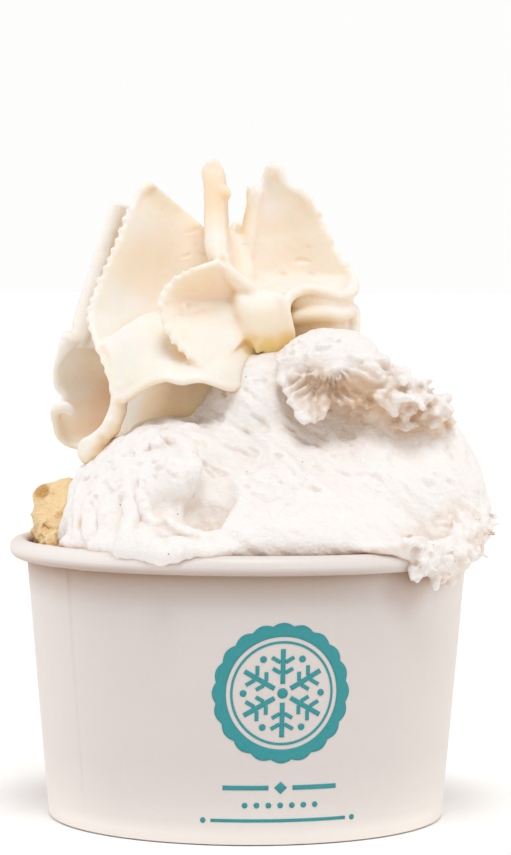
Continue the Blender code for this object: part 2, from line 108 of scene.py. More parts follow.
# one edit-mode step on the whole of a piece
def onWhole(piece, step, **values):
    pick(piece)
    bpy.ops.object.mode_set(mode="EDIT")
    bpy.ops.mesh.select_all(action="SELECT")
    step(**values)
    bpy.ops.object.mode_set(mode="OBJECT")


# a flat grid, one unit long and wide, to be laid along something
def newGrid(columns, rows):
    deselectAll()
    bpy.ops.mesh.primitive_grid_add(x_subdivisions=columns, y_subdivisions=rows, size=1.0)
    return bpy.context.object


# gives a sheet its thickness, half of it to each side
def thickened(piece, thickness, group="", even=False):
    solid = piece.modifiers.new("thickness", "SOLIDIFY")
    solid.thickness = thickness
    solid.offset = 0.0
    solid.vertex_group = group
    solid.use_even_offset = even
    return applyAll(piece)


def joined(pieces, name):
    pick(*pieces)
    if len(pieces) > 1:
        bpy.ops.object.join()
    pieces[0].name = name
    pieces[0].data.name = name
    bpy.ops.object.transform_apply(location=True, rotation=True, scale=True)
    return pieces[0]


def voxelFuse(piece, size, softenTimes):
    remesh = piece.modifiers.new("fuse", "REMESH")
    remesh.mode = "VOXEL"
    remesh.voxel_size = size
    soften = piece.modifiers.new("soften", "SMOOTH")
    soften.factor = 0.5
    soften.iterations = softenTimes
    return applyAll(piece)


# drops every island but the largest
def largestOnly(piece):
    mesh = bmesh.new()
    mesh.from_mesh(piece.data)
    left, best = set(mesh.verts), []
    while left:
        island, edge = [], [left.pop()]
        while edge:
            v = edge.pop()
            island.append(v)
            for link in v.link_edges:
                other = link.other_vert(v)
                if other in left:
                    left.remove(other)
                    edge.append(other)
        if len(island) > len(best):
            island, best = best, island
        bmesh.ops.delete(mesh, geom=island, context="VERTS")
    mesh.to_mesh(piece.data)
    mesh.free()


def thinOut(piece, triangles):
    now = sum(len(p.vertices) - 2 for p in piece.data.polygons)
    if now > triangles:
        thin = piece.modifiers.new("thin", "DECIMATE")
        thin.ratio = triangles / now
        applyAll(piece)
    return piece


def lump(middle, half, turned=(0.0, 0.0, 0.0), fine=4):
    bpy.ops.mesh.primitive_ico_sphere_add(
        subdivisions=fine, radius=1.0, location=middle, rotation=turned, scale=half
    )
    return bpy.context.object


# a rope of changing thickness through (x, y, z, radius) stations
def rope(name, stations, steps=24):
    curve = bpy.data.curves.new(name, "CURVE")
    curve.dimensions = "3D"
    curve.bevel_depth = 1.0
    curve.bevel_resolution = 6
    curve.use_fill_caps = True
    spline = curve.splines.new("POLY")
    spline.points.add(steps)
    for i, point in enumerate(spline.points):
        x, y, z, radius = lineAt(stations, i / steps)
        end = min(i, steps - i) / 3
        point.co = (x, y, z, 1.0)
        point.radius = radius * (math.sqrt(1 - (1 - end) ** 2 * 0.9) if end < 1 else 1.0)
    piece = bpy.data.objects.new(name, curve)
    bpy.context.scene.collection.objects.link(piece)
    pick(piece)
    bpy.ops.object.convert(target="MESH")
    return bpy.context.object


def noiseAt(points, size, octaves, seed, stretch=(1.0, 1.0, 1.0)):
    shift = Vector((seed * 17.31, seed * 5.77, seed * 9.13))
    scaled = points / (np.array(stretch) * size)
    return np.array([noise.fractal(Vector(p) + shift, 1.0, 2.1, octaves) for p in scaled])


# sharp crests between soft hollows, about 0 to 1
def craggyAt(points, size, seed):
    shift = Vector((seed * 13.1, seed * 8.7, seed * 4.9))
    crags = [noise.ridged_multi_fractal(Vector(p) + shift, 0.9, 2.1, 3, 0.9, 1.6) for p in points / size]
    return np.array(crags) * 0.5


def lineDistance(points, stations, steps=24):
    line = np.array([lineAt(stations, i / steps)[:3] for i in range(steps + 1)])
    best = np.full(len(points), 1e9)
    for a, b in zip(line, line[1:]):
        d = b - a
        t = np.clip(((points - a) @ d) / (d @ d), 0, 1)
        best = np.minimum(best, np.linalg.norm(points - a - t[:, None] * d, axis=1))
    return best


# 1 on a line, staying near 1 for most of the reach and then falling to 0
def nearLine(points, stations, reach):
    return np.exp(-((lineDistance(points, stations) / reach) ** 4))


# 1 at a spot's middle, falling to 0 at its reach
def spotAt(points, middle, reach, full=1.0):
    away = np.linalg.norm(points - np.array(middle), axis=1) / reach
    return np.clip(full - away**2, 0.0, 1.0)


def setAttribute(piece, name, values):
    layer = piece.data.attributes.get(name) or piece.data.attributes.new(name, "FLOAT", "POINT")
    layer.data.foreach_set("value", np.asarray(values, np.float32))


def readPaintedShade(piece):
    flat = np.empty(len(piece.data.vertices), np.float32)
    piece.data.attributes["paintedShadeAndStains"].data.foreach_get("value", flat)
    return flat


# averages values with those of the neighbouring points, several times over
def blurOver(piece, values, times):
    count = len(piece.data.vertices)
    flat = np.empty(len(piece.data.edges) * 2, np.int64)
    piece.data.edges.foreach_get("vertices", flat)
    a, b = flat.reshape(-1, 2).T
    share = np.maximum(np.bincount(a, minlength=count) + np.bincount(b, minlength=count), 1)
    out = np.array(values, float)
    for _ in range(times):
        total = np.bincount(a, out[b], count) + np.bincount(b, out[a], count)
        out = 0.5 * out + 0.5 * total / share
    return out


def finished(piece, name, material, nodes):
    writePoints(piece, readPoints(piece) * mm)
    piece.name = name
    piece.data.name = name
    piece.data.materials.clear()
    piece.data.materials.append(material)
    pick(piece)
    bpy.ops.object.shade_smooth()
    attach(piece, "root")
    if nodes:
        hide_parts(*nodes)


# puts a value into a socket, or links another node's output to it
def put(tree, socket, value):
    if isinstance(value, bpy.types.NodeSocket):
        tree.links.new(value, socket)
    elif socket.type == "RGBA":
        socket.default_value = (*value, 1.0)
    else:
        socket.default_value = value


# fills a node's inputs by name; an underscore stands for a space
def fill(tree, node, **inputs):
    for key, value in inputs.items():
        put(tree, node.inputs[key.replace("_", " ")], value)
    return node


def newNode(tree, kind, **inputs):
    return fill(tree, tree.nodes.new("ShaderNode" + kind), **inputs)


def mathNode(tree, operation, *values):
    node = newNode(tree, "Math")
    node.operation = operation
    for socket, value in zip(node.inputs, values):
        put(tree, socket, value)
    return node.outputs[0]


def mixNode(tree, factor, a, b):
    node = newNode(tree, "Mix")
    node.data_type = "RGBA"
    for key, value in ((0, factor), (6, a), (7, b)):
        put(tree, node.inputs[key], value)
    return node.outputs[2]


def attributeNode(tree, name):
    node = newNode(tree, "Attribute")
    node.attribute_name = name
    return node.outputs["Fac"]


def objectPlace(tree):
    return newNode(tree, "TexCoord").outputs["Object"]


def noiseNode(tree, scale, detail, roughness=0.5):
    place = objectPlace(tree)
    node = newNode(tree, "TexNoise", Vector=place, Scale=scale, Detail=detail, Roughness=roughness)
    return node.outputs["Fac"]


def socketed(name, inputs, outputs):
    group = bpy.data.node_groups.new(name, "ShaderNodeTree")
    for label, value in inputs.items():
        kind = "NodeSocketColor" if isinstance(value, tuple) else "NodeSocketFloat"
        socket = group.interface.new_socket(label, in_out="INPUT", socket_type=kind)
        socket.default_value = (*value, 1.0) if isinstance(value, tuple) else value
    for label, kind in outputs.items():
        group.interface.new_socket(label, in_out="OUTPUT", socket_type=kind)
    return group, group.nodes.new("NodeGroupInput"), group.nodes.new("NodeGroupOutput")


# fine uneven grain on a soft surface; sizes in metres
def makeGrainGroup():
    inputs = {"Size": 0.002, "Height": 0.0001, "Crumb": 0.0}
    outputs = {"Grain": "NodeSocketFloat", "Normal": "NodeSocketVector"}
    group, gin, gout = socketed("softGrain", inputs, outputs)
    scale = mathNode(group, "DIVIDE", 1.0, gin.outputs["Size"])
    soft = noiseNode(group, scale, 4.0, 0.6)
    finer = mathNode(group, "MULTIPLY", scale, 1.7)
    crumbs = newNode(group, "TexVoronoi", Vector=objectPlace(group), Scale=finer)
    crumbs.feature = "SMOOTH_F1"
    crumbs.inputs["Smoothness"].default_value = 0.4
    lumps = mathNode(group, "SUBTRACT", 1.0, crumbs.outputs["Distance"])
    lumps = mathNode(group, "MULTIPLY", lumps, gin.outputs["Crumb"])
    height = mathNode(group, "ADD", soft, lumps)
    bump = newNode(group, "Bump", Strength=1.0, Distance=gin.outputs["Height"], Height=height)
    fill(group, gout, Grain=soft, Normal=bump.outputs["Normal"])
    return group


# painted shade: the open colour turns to the shade colour where the mesh's painted shade value says it is shut
# in
def makeTintGroup():
    inputs = {"Open Colour": (0.9, 0.9, 0.9), "Shut Colour": (0.6, 0.5, 0.4), "Grain": 0.5, "Mottle": 0.1}
    group, gin, gout = socketed("paintedShadeTint", inputs, {"Colour": "NodeSocketColor"})
    spread = mathNode(group, "SUBTRACT", gin.outputs["Grain"], 0.5)
    spread = mathNode(group, "MULTIPLY", spread, gin.outputs["Mottle"])
    amount = mathNode(group, "ADD", attributeNode(group, "paintedShadeAndStains"), spread)
    amount = newNode(group, "Clamp", Value=amount).outputs[0]
    fill(group, gout, Colour=mixNode(group, amount, gin.outputs["Open Colour"], gin.outputs["Shut Colour"]))
    return group


grainGroup = makeGrainGroup()
tintGroup = makeTintGroup()


def newFinish(name, **inputs):
    made = bpy.data.materials.new(name)
    made.use_nodes = True
    tree = made.node_tree
    return made, tree, fill(tree, tree.nodes["Principled BSDF"], **inputs)


def groupNode(tree, group, **inputs):
    node = newNode(tree, "Group")
    node.node_tree = group
    return fill(tree, node, **inputs).outputs


def softFood(name, look):
    made, tree, shader = newFinish(
        name, Roughness=look["roughness"], Specular_IOR_Level=look["gloss"], Subsurface_Weight=look["through"],
        Subsurface_Scale=look["depth"] * mm, Subsurface_Radius=look["radius"],
    )
    size, height = look["grain"] * mm, look["height"] * mm
    grain = groupNode(tree, grainGroup, Size=size, Height=height, Crumb=look["crumb"])
    # painted shade: the open colour goes to the shade colour where the mesh is shut in
    colours = {"Open_Colour": look["open"], "Shut_Colour": look["paintedShadeAndStains"]}
    colour = groupNode(tree, tintGroup, **colours, Mottle=look["mottle"], Grain=grain["Grain"])["Colour"]
    if look.get("specks"):
        dots = newNode(tree, "TexVoronoi", Vector=objectPlace(tree), Scale=1 / (look["speckGap"] * mm)).outputs
        near = mathNode(tree, "LESS_THAN", dots["Distance"], look["speckSize"] / look["speckGap"])
        some = mathNode(tree, "GREATER_THAN", dots["Color"], look["speckless"])
        mask = mathNode(tree, "MULTIPLY", mathNode(tree, "MULTIPLY", near, some), look["speckDark"])
        colour = mixNode(tree, mask, colour, look["specks"])
    # painted golden glow where the mesh says the cream is thin
    if look.get("paintedGlow"):
        colour = mixNode(tree, attributeNode(tree, "paintedGlow"), colour, look["paintedGlow"])
    fill(tree, shader, Base_Color=colour, Normal=grain["Normal"])
    return made


# in each look the first colour is the food's own, the second is painted shade (on the biscuit gelato also its
# darker stains), and the cream's last colour is a painted golden glow
whiteLook = {
    "open": (0.93, 0.915, 0.902), "paintedShadeAndStains": (0.72, 0.53, 0.37), "mottle": 0.12,
    "roughness": 0.55, "gloss": 0.3, "through": 0.2, "depth": 1.2, "radius": (1.0, 0.72, 0.5),
    "grain": 1.1, "height": 0.24, "crumb": 0.5,
    "specks": (0.30, 0.20, 0.12), "speckGap": 3.4, "speckSize": 0.15, "speckless": 0.55, "speckDark": 0.75,
}
biscuitLook = {
    "open": (0.93, 0.72, 0.42), "paintedShadeAndStains": (0.62, 0.36, 0.14), "mottle": 0.45,
    "roughness": 0.6, "gloss": 0.25, "through": 0.2, "depth": 1.2, "radius": (1.0, 0.6, 0.3),
    "grain": 0.9, "height": 0.3, "crumb": 0.7,
    "specks": (0.40, 0.20, 0.08), "speckGap": 2.6, "speckSize": 0.22, "speckless": 0.55, "speckDark": 0.75,
}
creamLook = {
    "open": (0.915, 0.893, 0.85), "paintedShadeAndStains": (0.91, 0.695, 0.44), "mottle": 0.08,
    "roughness": 0.45, "gloss": 0.3, "through": 0.55, "depth": 2.2, "radius": (1.0, 0.62, 0.38),
    "grain": 1.6, "height": 0.06, "crumb": 0.1, "paintedGlow": (0.84, 0.58, 0.2),
}
whiteFinish = softFood("whiteGelato", whiteLook)
biscuitFinish = softFood("biscuitGelato", biscuitLook)
creamFinish = softFood("pipedCream", creamLook)


paperLook = {
    "roughness": 0.42, "uneven": 0.14, "gloss": 0.4, "coat": 0.3, "coatRough": 0.4, "height": 0.03,
    "light": (0.74, 0.697, 0.685), "dark": (0.69, 0.643, 0.632), "fibre": (0.66, 0.61, 0.59), "fibrous": 0.16,
    # the next line holds painted light for the board's foot, sides and rim, and painted shade under the rim,
    # under the drip and in hollows
    "paintedLight": (0.95, 0.91, 0.87), "paintedShadeAndStains": (0.42, 0.29, 0.21), "mottle": 0.05, "fibres": 900.0, "clouds": 45.0,
}
inkLook = {
    "roughness": 0.45, "gloss": 0.4, "grain": 1400.0, "dark": (0.022, 0.27, 0.30), "light": (0.04, 0.33, 0.36),
}


def makePaper():
    look = paperLook
    made, tree, shader = newFinish("coatedBoard", Specular_IOR_Level=look["gloss"], Coat_Weight=look["coat"])
    fibre, cloudy = noiseNode(tree, look["fibres"], 5.0), noiseNode(tree, look["clouds"], 3.0)
    colour = mixNode(tree, cloudy, look["dark"], look["light"])
    colour = mixNode(tree, mathNode(tree, "MULTIPLY", fibre, look["fibrous"]), colour, look["fibre"])
    # painted light on the board's foot, sides and rim, then painted shade under the rim, under the drip and in
    # hollows
    colour = mixNode(tree, attributeNode(tree, "paintedLight"), colour, look["paintedLight"])
    colours = {"Open_Colour": colour, "Shut_Colour": look["paintedShadeAndStains"]}
    colour = groupNode(tree, tintGroup, **colours, Mottle=look["mottle"], Grain=fibre)["Colour"]
    rough = mathNode(tree, "ADD", mathNode(tree, "MULTIPLY", cloudy, look["uneven"]), look["roughness"])
    bump = newNode(tree, "Bump", Distance=look["height"] * mm, Height=fibre)
    fill(tree, shader, Base_Color=colour, Roughness=rough, Normal=bump.outputs["Normal"])
    fill(tree, shader, Coat_Roughness=look["coatRough"])
    return made


def makeInk():
    look = inkLook
    made, tree, shader = newFinish("tealInk", Roughness=look["roughness"], Specular_IOR_Level=look["gloss"])
    cover = noiseNode(tree, look["grain"], 3.0)
    fill(tree, shader, Base_Color=mixNode(tree, cover, look["dark"], look["light"]))
    return made


paperFinish = makePaper()
inkFinish = makeInk()
print("finishes ready")


tub = {
    "height": 52.7, "rimRadius": 45.0, "rollRadius": 1.85, "footRadius": 37.4, "board": 0.5, "gap": 0.3,
    # heights of the hem inside the foot and of the rings of the wall, then the fold and the rolled rim
    "hem": (5.6, 2.5), "rings": (2, 4, 8, 14, 20, 26, 32, 36, 39, 41, 42.5, 44, 45.3, 46.5, 47.6, 48.6, 49.4),
    "foldSteps": 6, "foldDeep": 0.35, "rollSteps": 18, "rollFrom": 176, "rollTurn": 296, "steps": 192,
    # the seam runs up the wall and slips sideways at the rim; it is cut in on both of its edges
    "seamTurn": -52.0, "seamSlip": 8.0, "seamWidth": 10.0, "seamStep": 0.09, "seamCuts": (-0.25, 0.05),
    "seamFade": 0.72, "slipLevels": (47.8, 48.4), "wave": (26.0, 2, 3), "waveDeep": 0.08, "oval": 0.06,
}


def wallRadius(z):
    top = tub["rimRadius"] - 2 * tub["rollRadius"] + tub["board"] / 2
    foot = tub["footRadius"] - tub["board"] / 2
    return foot + (top - foot) * z / (tub["height"] - tub["rollRadius"])


# a ring that is extruded and resized from station to station of (radius, z)
def turnedSheet(name, profile, steps):
    deselectAll()
    bpy.ops.mesh.primitive_circle_add(vertices=steps, radius=profile[0][0], location=(0, 0, profile[0][1]))
    piece = bpy.context.object
    piece.name = name
    bpy.ops.object.transform_apply(location=True)
    bpy.ops.object.mode_set(mode="EDIT")
    bpy.ops.mesh.select_all(action="SELECT")
    for (r0, z0), (r1, z1) in zip(profile, profile[1:]):
        bpy.ops.mesh.extrude_region_move(TRANSFORM_OT_translate={"value": (0, 0, z1 - z0)})
        bpy.ops.transform.resize(value=(r1 / r0, r1 / r0, 1.0), center_override=(0, 0, 0))
    bpy.ops.object.mode_set(mode="OBJECT")
    onWhole(piece, bpy.ops.mesh.normals_make_consistent, inside=False)
    return piece


def buildWall():
    board, roll = tub["board"], tub["rollRadius"]
    hem = 2 * board + 2 * tub["gap"]
    level, middle = tub["height"] - roll, tub["rimRadius"] - roll
    profile = [(wallRadius(z) - hem, z) for z in tub["hem"]]
    for i in range(tub["foldSteps"] + 1):  # the board folds round the foot
        a = math.pi * i / tub["foldSteps"]
        z = board / 2 + tub["foldDeep"] * (1 - math.sin(a))
        profile.append((wallRadius(0) - hem / 2 - hem / 2 * math.cos(a), z))
    profile += [(wallRadius(z), z) for z in tub["rings"]]
    for i in range(tub["rollSteps"] + 1):
        a = math.radians(tub["rollFrom"] - tub["rollTurn"] * i / tub["rollSteps"])
        profile.append((middle + (roll - board / 2) * math.cos(a), level + (roll - board / 2) * math.sin(a)))
    wall = turnedSheet("tubWall", profile, tub["steps"])
    for slip in (0.0, tub["seamSlip"]):
        for nudge in tub["seamCuts"]:
            side = tuple(around(tub["seamTurn"] + slip + nudge + 90, 1.0, 0.0))
            onWhole(wall, bpy.ops.mesh.bisect, plane_co=(0, 0, 0), plane_no=side)
    points, normals = readPoints(wall), readNormals(wall)
    x, y, z = points.T
    outward = np.sign((normals[:, :2] * points[:, :2]).sum(1).mean())
    turns = np.degrees(np.arctan2(x, -y))
    start = tub["seamTurn"] + tub["seamSlip"] * smoothStep(*tub["slipLevels"], z)
    fade = smoothStep(start - tub["seamWidth"], start - tub["seamWidth"] * tub["seamFade"], turns)
    over = fade * (turns < start - 0.1)
    # the board is never quite round or straight
    wave = noiseAt(points, *tub["wave"]) * tub["waveDeep"] + tub["oval"] * np.sin(np.radians(turns) * 3 + 0.8)
    outer = smoothStep(0.5, 3.0, z) * (np.hypot(x, y) > wallRadius(0) - 1.0)
    shift = (over * tub["seamStep"] + wave) * outer
    writePoints(wall, points + normals * outward * shift[:, None])
    return thickened(wall, board, even=True)


# the round floor: "edge" gives its rounded edge as (inwards, below), "rings" shares of its flat part
disc = {
    "level": 7.0, "foot": 1.1, "edge": ((0.0, 0.6), (0.25, 0.15), (0.8, 0.0)), "flatEdge": 1.3,
    "rings": (0.08, 0.3, 0.6, 0.9), "middle": (0.12, 0.6), "steps": 128,
}


def buildBase():
    inset = tub["board"] + tub["gap"]
    level = disc["level"] - tub["board"] / 2
    rim = wallRadius(level) - inset
    flat = rim - disc["flatEdge"]
    profile = [(wallRadius(disc["foot"]) - inset, disc["foot"])]
    profile += [(rim - inwards, level - below) for inwards, below in disc["edge"]]
    profile += [(profile[-1][0] - flat * share, level) for share in disc["rings"]]
    base = turnedSheet("tubBase", profile, disc["steps"])
    onWhole(base, bpy.ops.mesh.select_all, action="DESELECT")
    share, more = disc["middle"]
    for v in base.data.vertices:
        v.select = math.hypot(v.co.x, v.co.y) < flat * share + more
    bpy.ops.object.mode_set(mode="EDIT")
    bpy.ops.mesh.edge_face_add()
    bpy.ops.object.mode_set(mode="OBJECT")
    onWhole(base, bpy.ops.mesh.normals_make_consistent, inside=False)
    return thickened(base, tub["board"])


wall = buildWall()
base = buildBase()
print("tub ready")

# a printed badge of a frost star in a scalloped ring, with rows of small ornaments below it
motif = {
    "turn": 9.5, "level": 27.8, "lift": 0.05, "ink": 0.05,
    "ring": (10.2, 12.2), "scallops": 20, "scallop": 0.55, "fineRing": (9.0, 9.45),
    "arm": (1.7, 8.0, 0.44), "branches": ((3.7, 1.6), (5.6, 1.8)), "middle": 0.95, "dot": (7.1, 0.62),
    # rows below the ring: lines as (x, z, x, z, half width) and dots as (x, z, radius, corners)
    "lines": (
        (-10.5, -17.2, -2.2, -17.2, 0.42), (2.2, -17.2, 10.5, -17.2, 0.42), (-12.6, -23.2, 12.6, -23.2, 0.3),
    ),
    "dots": ((0, -17.2, 1.15, 4), (-14.0, -23.2, 0.5, 20), (14.0, -23.2, 0.5, 20)),
    "beads": {"count": 7, "gap": 2.15, "z": -20.4, "radius": 0.52},
}


# a flat strip of ink from one (x, z) point to another; half is half its width
def inkLine(x0, z0, x1, z1, half):
    strip = newGrid(8, 3)
    wide = 2 * half / math.hypot(x1 - x0, z1 - z0)
    for v in strip.data.vertices:
        t, side = v.co.x + 0.5, v.co.y * wide
        v.co = (x0 + (x1 - x0) * t - (z1 - z0) * side, 0.0, z0 + (z1 - z0) * t + (x1 - x0) * side)
    return strip


def inkDot(x, z, radius, corners=20):
    deselectAll()
    bpy.ops.mesh.primitive_circle_add(
        vertices=corners, radius=radius, fill_type="TRIFAN", location=(x, 0, z), rotation=(math.pi / 2, 0, 0)
    )
    dot = bpy.context.object
    bpy.ops.object.transform_apply(location=True, rotation=True)
    return dot


def inkRing(inner, outer, scallops=0, deep=0.0):
    ring = newGrid(240, 4)
    for v in ring.data.vertices:
        turn = math.tau * (v.co.x + 0.5)
        wide = outer - inner + deep * abs(math.cos(scallops * turn / 2))
        reach = inner + wide * (v.co.y + 0.5)
        v.co = (reach * math.sin(turn), 0.0, reach * math.cos(turn))
    onWhole(ring, bpy.ops.mesh.remove_doubles, threshold=0.001)
    return ring


def buildMotif(wall):
    parts = [inkRing(*motif["ring"], motif["scallops"], motif["scallop"]), inkRing(*motif["fineRing"])]
    start, end, half = motif["arm"]
    for i in range(6):
        a = math.tau * i / 6
        out, side = Vector((math.sin(a), math.cos(a))), Vector((math.cos(a), -math.sin(a)))
        parts.append(inkLine(*(out * start), *(out * end), half))
        for reach, long in motif["branches"]:
            for hand in (-1, 1):
                foot = out * reach + side * hand * half * 1.05
                tip = foot + (out * 0.5 + side * hand * 0.866) * long
                parts.append(inkLine(*foot, *tip, half * 0.8))
        between = Vector((math.sin(a + math.pi / 6), math.cos(a + math.pi / 6))) * motif["dot"][0]
        parts.append(inkDot(*between, motif["dot"][1]))
    parts.append(inkDot(0, 0, motif["middle"], 24))
    beads = motif["beads"]
    first = -(beads["count"] - 1) / 2
    parts += [inkDot(beads["gap"] * (first + i), beads["z"], beads["radius"]) for i in range(beads["count"])]
    parts += [inkLine(*line) for line in motif["lines"]] + [inkDot(*dot) for dot in motif["dots"]]
    art = joined(parts, "printedMotif")
    for v in art.data.vertices:
        z = v.co.z + motif["level"]
        reach = wallRadius(z) + tub["board"] / 2 + 0.3
        v.co = around(motif["turn"] + math.degrees(v.co.x / reach), reach, z)
    wrap = art.modifiers.new("onWall", "SHRINKWRAP")
    wrap.target = wall
    wrap.wrap_method = "NEAREST_SURFACEPOINT"
    wrap.wrap_mode = "ABOVE_SURFACE"
    wrap.offset = motif["lift"]
    thickened(art, motif["ink"])
    onWhole(art, bpy.ops.mesh.normals_make_consistent, inside=False)
    return art


badge = buildMotif(wall)
print("motif ready")


heap = {
    "lumps": {
        "bed": ((4, 0, 50), (38, 43, 6)),
        "leftShoulder": ((-13, -8, 54), (21.5, 28.5, 21.5)),
        "front": ((2, -16, 52.4), (32, 25.2, 16)),
        "saddle": ((0, -1, 60), (17, 19, 24)),
        "mound": ((17.5, 1, 56), (28.6, 28.5, 29)),
        "rise": ((3, -6, 76.2), (10.5, 11, 12.7)),
        "back": ((6, 13, 52), (34, 27, 24)),
        "curl": ((15.5, -12.4, 86.2), (9.4, 9.4, 6.8)),
        "pitWall": ((-13.6, -30, 64.8), (4.2, 5.6, 6.6)),
        "nub": ((-18.6, -38, 54.5), (2, 3.4, 3.2)),
    },
    "ridges": {
        "crest": (
            (9, -15.5, 86.4, 4), (17, -17.5, 85.4, 4.9), (25, -16.6, 82.4, 4.5), (32, -14.2, 79.3, 3.3),
            (37.5, -11.5, 76.4, 1.9),
        ),
        "spill": (
            (19.5, -38, 53.6, 1.2), (23.5, -37, 53.4, 1.7), (26.6, -35.4, 53.5, 2), (29.4, -33.4, 52.8, 2.4),
            (32.6, -30.8, 51, 3.1), (36.4, -25.6, 50.6, 3.8), (40.4, -16, 54, 4.1), (42.9, -6, 56, 4.1),
            (42.2, 4, 57.8, 3.2),
        ),
        "frontLap": (
            (-35, -19.6, 52.4, 1.6), (-31.6, -25.4, 52.8, 2.2), (-26.6, -32, 53, 2.2), (-21, -38, 53, 2.3),
            (-14, -41.6, 53, 2.4), (-7, -42.2, 53.3, 2), (-1, -41.4, 53, 1.1),
        ),
        "pitLip": (
            (-13, -35.6, 58, 1.5), (-8, -37.4, 55.8, 1.8), (-3, -38, 55.2, 1.9), (3, -37.8, 55.6, 1.8),
            (10, -36.6, 55.6, 1.7), (18, -35.2, 54.6, 1.3),
        ),
    },
    # where a spoon has been: (middle, half sizes, lean in degrees)
    "scoops": (((-5.6, -30.6, 66.5), (3.9, 3.5, 12.5), 38), ((-7.2, -34.4, 59.6), (4.2, 4.4, 5), 26)),
    # (middle, reach, push): where a spatula has moved it
    "pushes": (
        ((26, -25, 68), 17, (-0.6, 1.6, -0.6)), ((15, -20, 73.5), 12, (0, 5.5, 0)),
        ((29, -17, 71.5), 9, (0, 2.6, 0)), ((-2.5, -26, 69), 9, (0, 2.6, -0.5)),
        ((1.5, -33, 62.5), 9.5, (0, 3.6, -1.2)), ((8, -31, 63), 9, (0, 1.6, -0.4)),
    ),
    # smears drawn on the front, each through (x, z, radius)
    "smears": (
        ((-30.4, 64, 1), (-30.6, 58, 1.2), (-31, 54.4, 1)), ((-27.6, 65.6, 1), (-28, 59, 1.4), (-28, 54, 1.2)),
        ((-24.2, 64.8, 1.2), (-23.4, 63.4, 1.1)), ((-22.4, 67.6, 1), (-21, 61, 1.5), (-21.4, 53, 1.5)),
        ((-18.9, 66.4, 1.2), (-17.8, 60, 1.5), (-15.8, 57, 1.3)),
        ((-17, 53.8, 1.7), (-14, 52.8, 2), (-11, 52.9, 1.6)),
        ((-14.6, 59.6, 1.2), (-10.6, 56.4, 1.5), (-6, 55.4, 1.2)), ((6, 70, 1), (10, 66, 1.3), (16, 62, 1)),
        ((-17, 70.2, 1.4), (-14.4, 72, 1.9), (-11.6, 71.2, 1.7), (-10.4, 68.4, 1.6), (-11, 64.6, 1.4)),
        ((-15, 67.4, 1.2), (-12.6, 65.6, 1.6), (-12.4, 62, 1.5)),
    ),
    # painted warm shade on undersides under the crest, the curl's fan and the spill: (middle, reach, how much)
    "paintedShading": (
        ((20, -19, 77), 8.5, 0.6), ((29, -16, 75.6), 6, 0.4), ((37, -24.5, 48.6), 6.5, 0.35),
        ((25, -37, 52.4), 6, 0.3), ((36.5, -13, 74.6), 4.5, 0.4), ((12.5, -20.8, 82), 6, 0.62),
        ((19.6, -20, 82), 4.6, 0.55), ((12, -21, 72), 5, 0.25), ((35, -13, 77), 6, 0.25),
        ((23, -19, 82.5), 6.5, 0.4), ((40, -18, 55), 8, 0.4),
    ),
    # torn tips that hang from the spill: (place, way, length, thickness)
    "tips": (
        ((30, -33.6, 49.8), (0, -0.2, -1), 2.6, 1.4), ((34.2, -29.8, 47.8), (0, -0.2, -1), 2.8, 1.5),
        ((37.2, -25.6, 47.4), (0.1, -0.2, -1), 1.8, 0.9), ((32, -32.2, 49), (0.2, -0.2, -1), 1.2, 1.2),
    ),
    # crumbs over the curl, the rest of the crest and the spill
    "crumbs": {
        "curl": {
            "count": 55, "sizes": (0.4, 1.1), "seed": 13, "lean": (0.1, -0.2, 0.2), "long": (1, 1.6),
            "flat": (0.3, 0.6),
        },
        "crest": {
            "count": 80, "sizes": (0.8, 2), "seed": 11, "lean": (0.3, -0.3, -0.1), "long": (1.1, 1.9),
            "torn": 0.12, "flat": (0.35, 0.7),
        },
        "spill": {
            "count": 90, "sizes": (0.6, 1.7), "seed": 12, "lean": (0.1, -0.1, -0.3), "long": (1, 1.7),
            "torn": 0.1, "flat": (0.4, 0.8),
        },
    },
    # noises that roughen it: size, octaves, seed and sometimes a stretch
    "noises": {
        "swell": (10, 2, 1), "leftSwell": (5, 2, 17), "upright": (3, 2, 4, (1, 1, 4)),
        "streaks": (1.5, 2, 6, (6, 2, 1)), "dents": (2.6, 2, 14, (1.6, 1, 0.8)), "torn": (2.2, 3, 21),
        "fine": (1.5, 2, 5), "fanBend": (4, 2, 15), "fanDeep": (3, 1, 16),
    },
    "crags": (4.2, 2),
    # the fan under the curl: the point its ribs come from, how far they reach, how many
    "fan": {"hub": (14.7, -16, 86.4), "reach": 12.6, "ribs": 25, "deep": 1.05, "bend": 0.22},
    "floor": 44, "tuck": (53.5, 51.4), "voxel": 0.4, "triangles": 195000,
}


# low gelato that would stand outside the tub is drawn in under the rim
def tucked(points, high, low):
    flat = np.hypot(points[:, 0], points[:, 1])
    over = np.maximum(flat - (tub["rimRadius"] - 2 * tub["rollRadius"] - 1.0), 0.0)
    share = 1.0 - smoothStep(-high, -low, -points[:, 2]) * over / np.maximum(flat, 1e-6)
    return points * np.stack([share, share, np.ones_like(share)], 1)


def pushed(points, middle, reach, shift):
    return points + np.array(shift) * (spotAt(points, middle, reach) ** 2)[:, None]


def cutBelow(piece, z):
    cut = {"plane_co": (0, 0, z), "plane_no": (0, 0, 1), "use_fill": True, "clear_inner": True}
    onWhole(piece, bpy.ops.mesh.bisect, **cut)


def towards(way):
    return Vector(way).to_track_quat("Z", "Y").to_euler()


# a tip of soft food pulled out along a way
def tornTip(place, way, length, thick):
    way = Vector(way).normalized()
    middle = Vector(place) + way * length * 0.35
    deselectAll()
    bpy.ops.mesh.primitive_cone_add(
        vertices=9, radius1=thick, radius2=thick * 0.45, depth=length, location=middle, rotation=towards(way)
    )
    return bpy.context.object


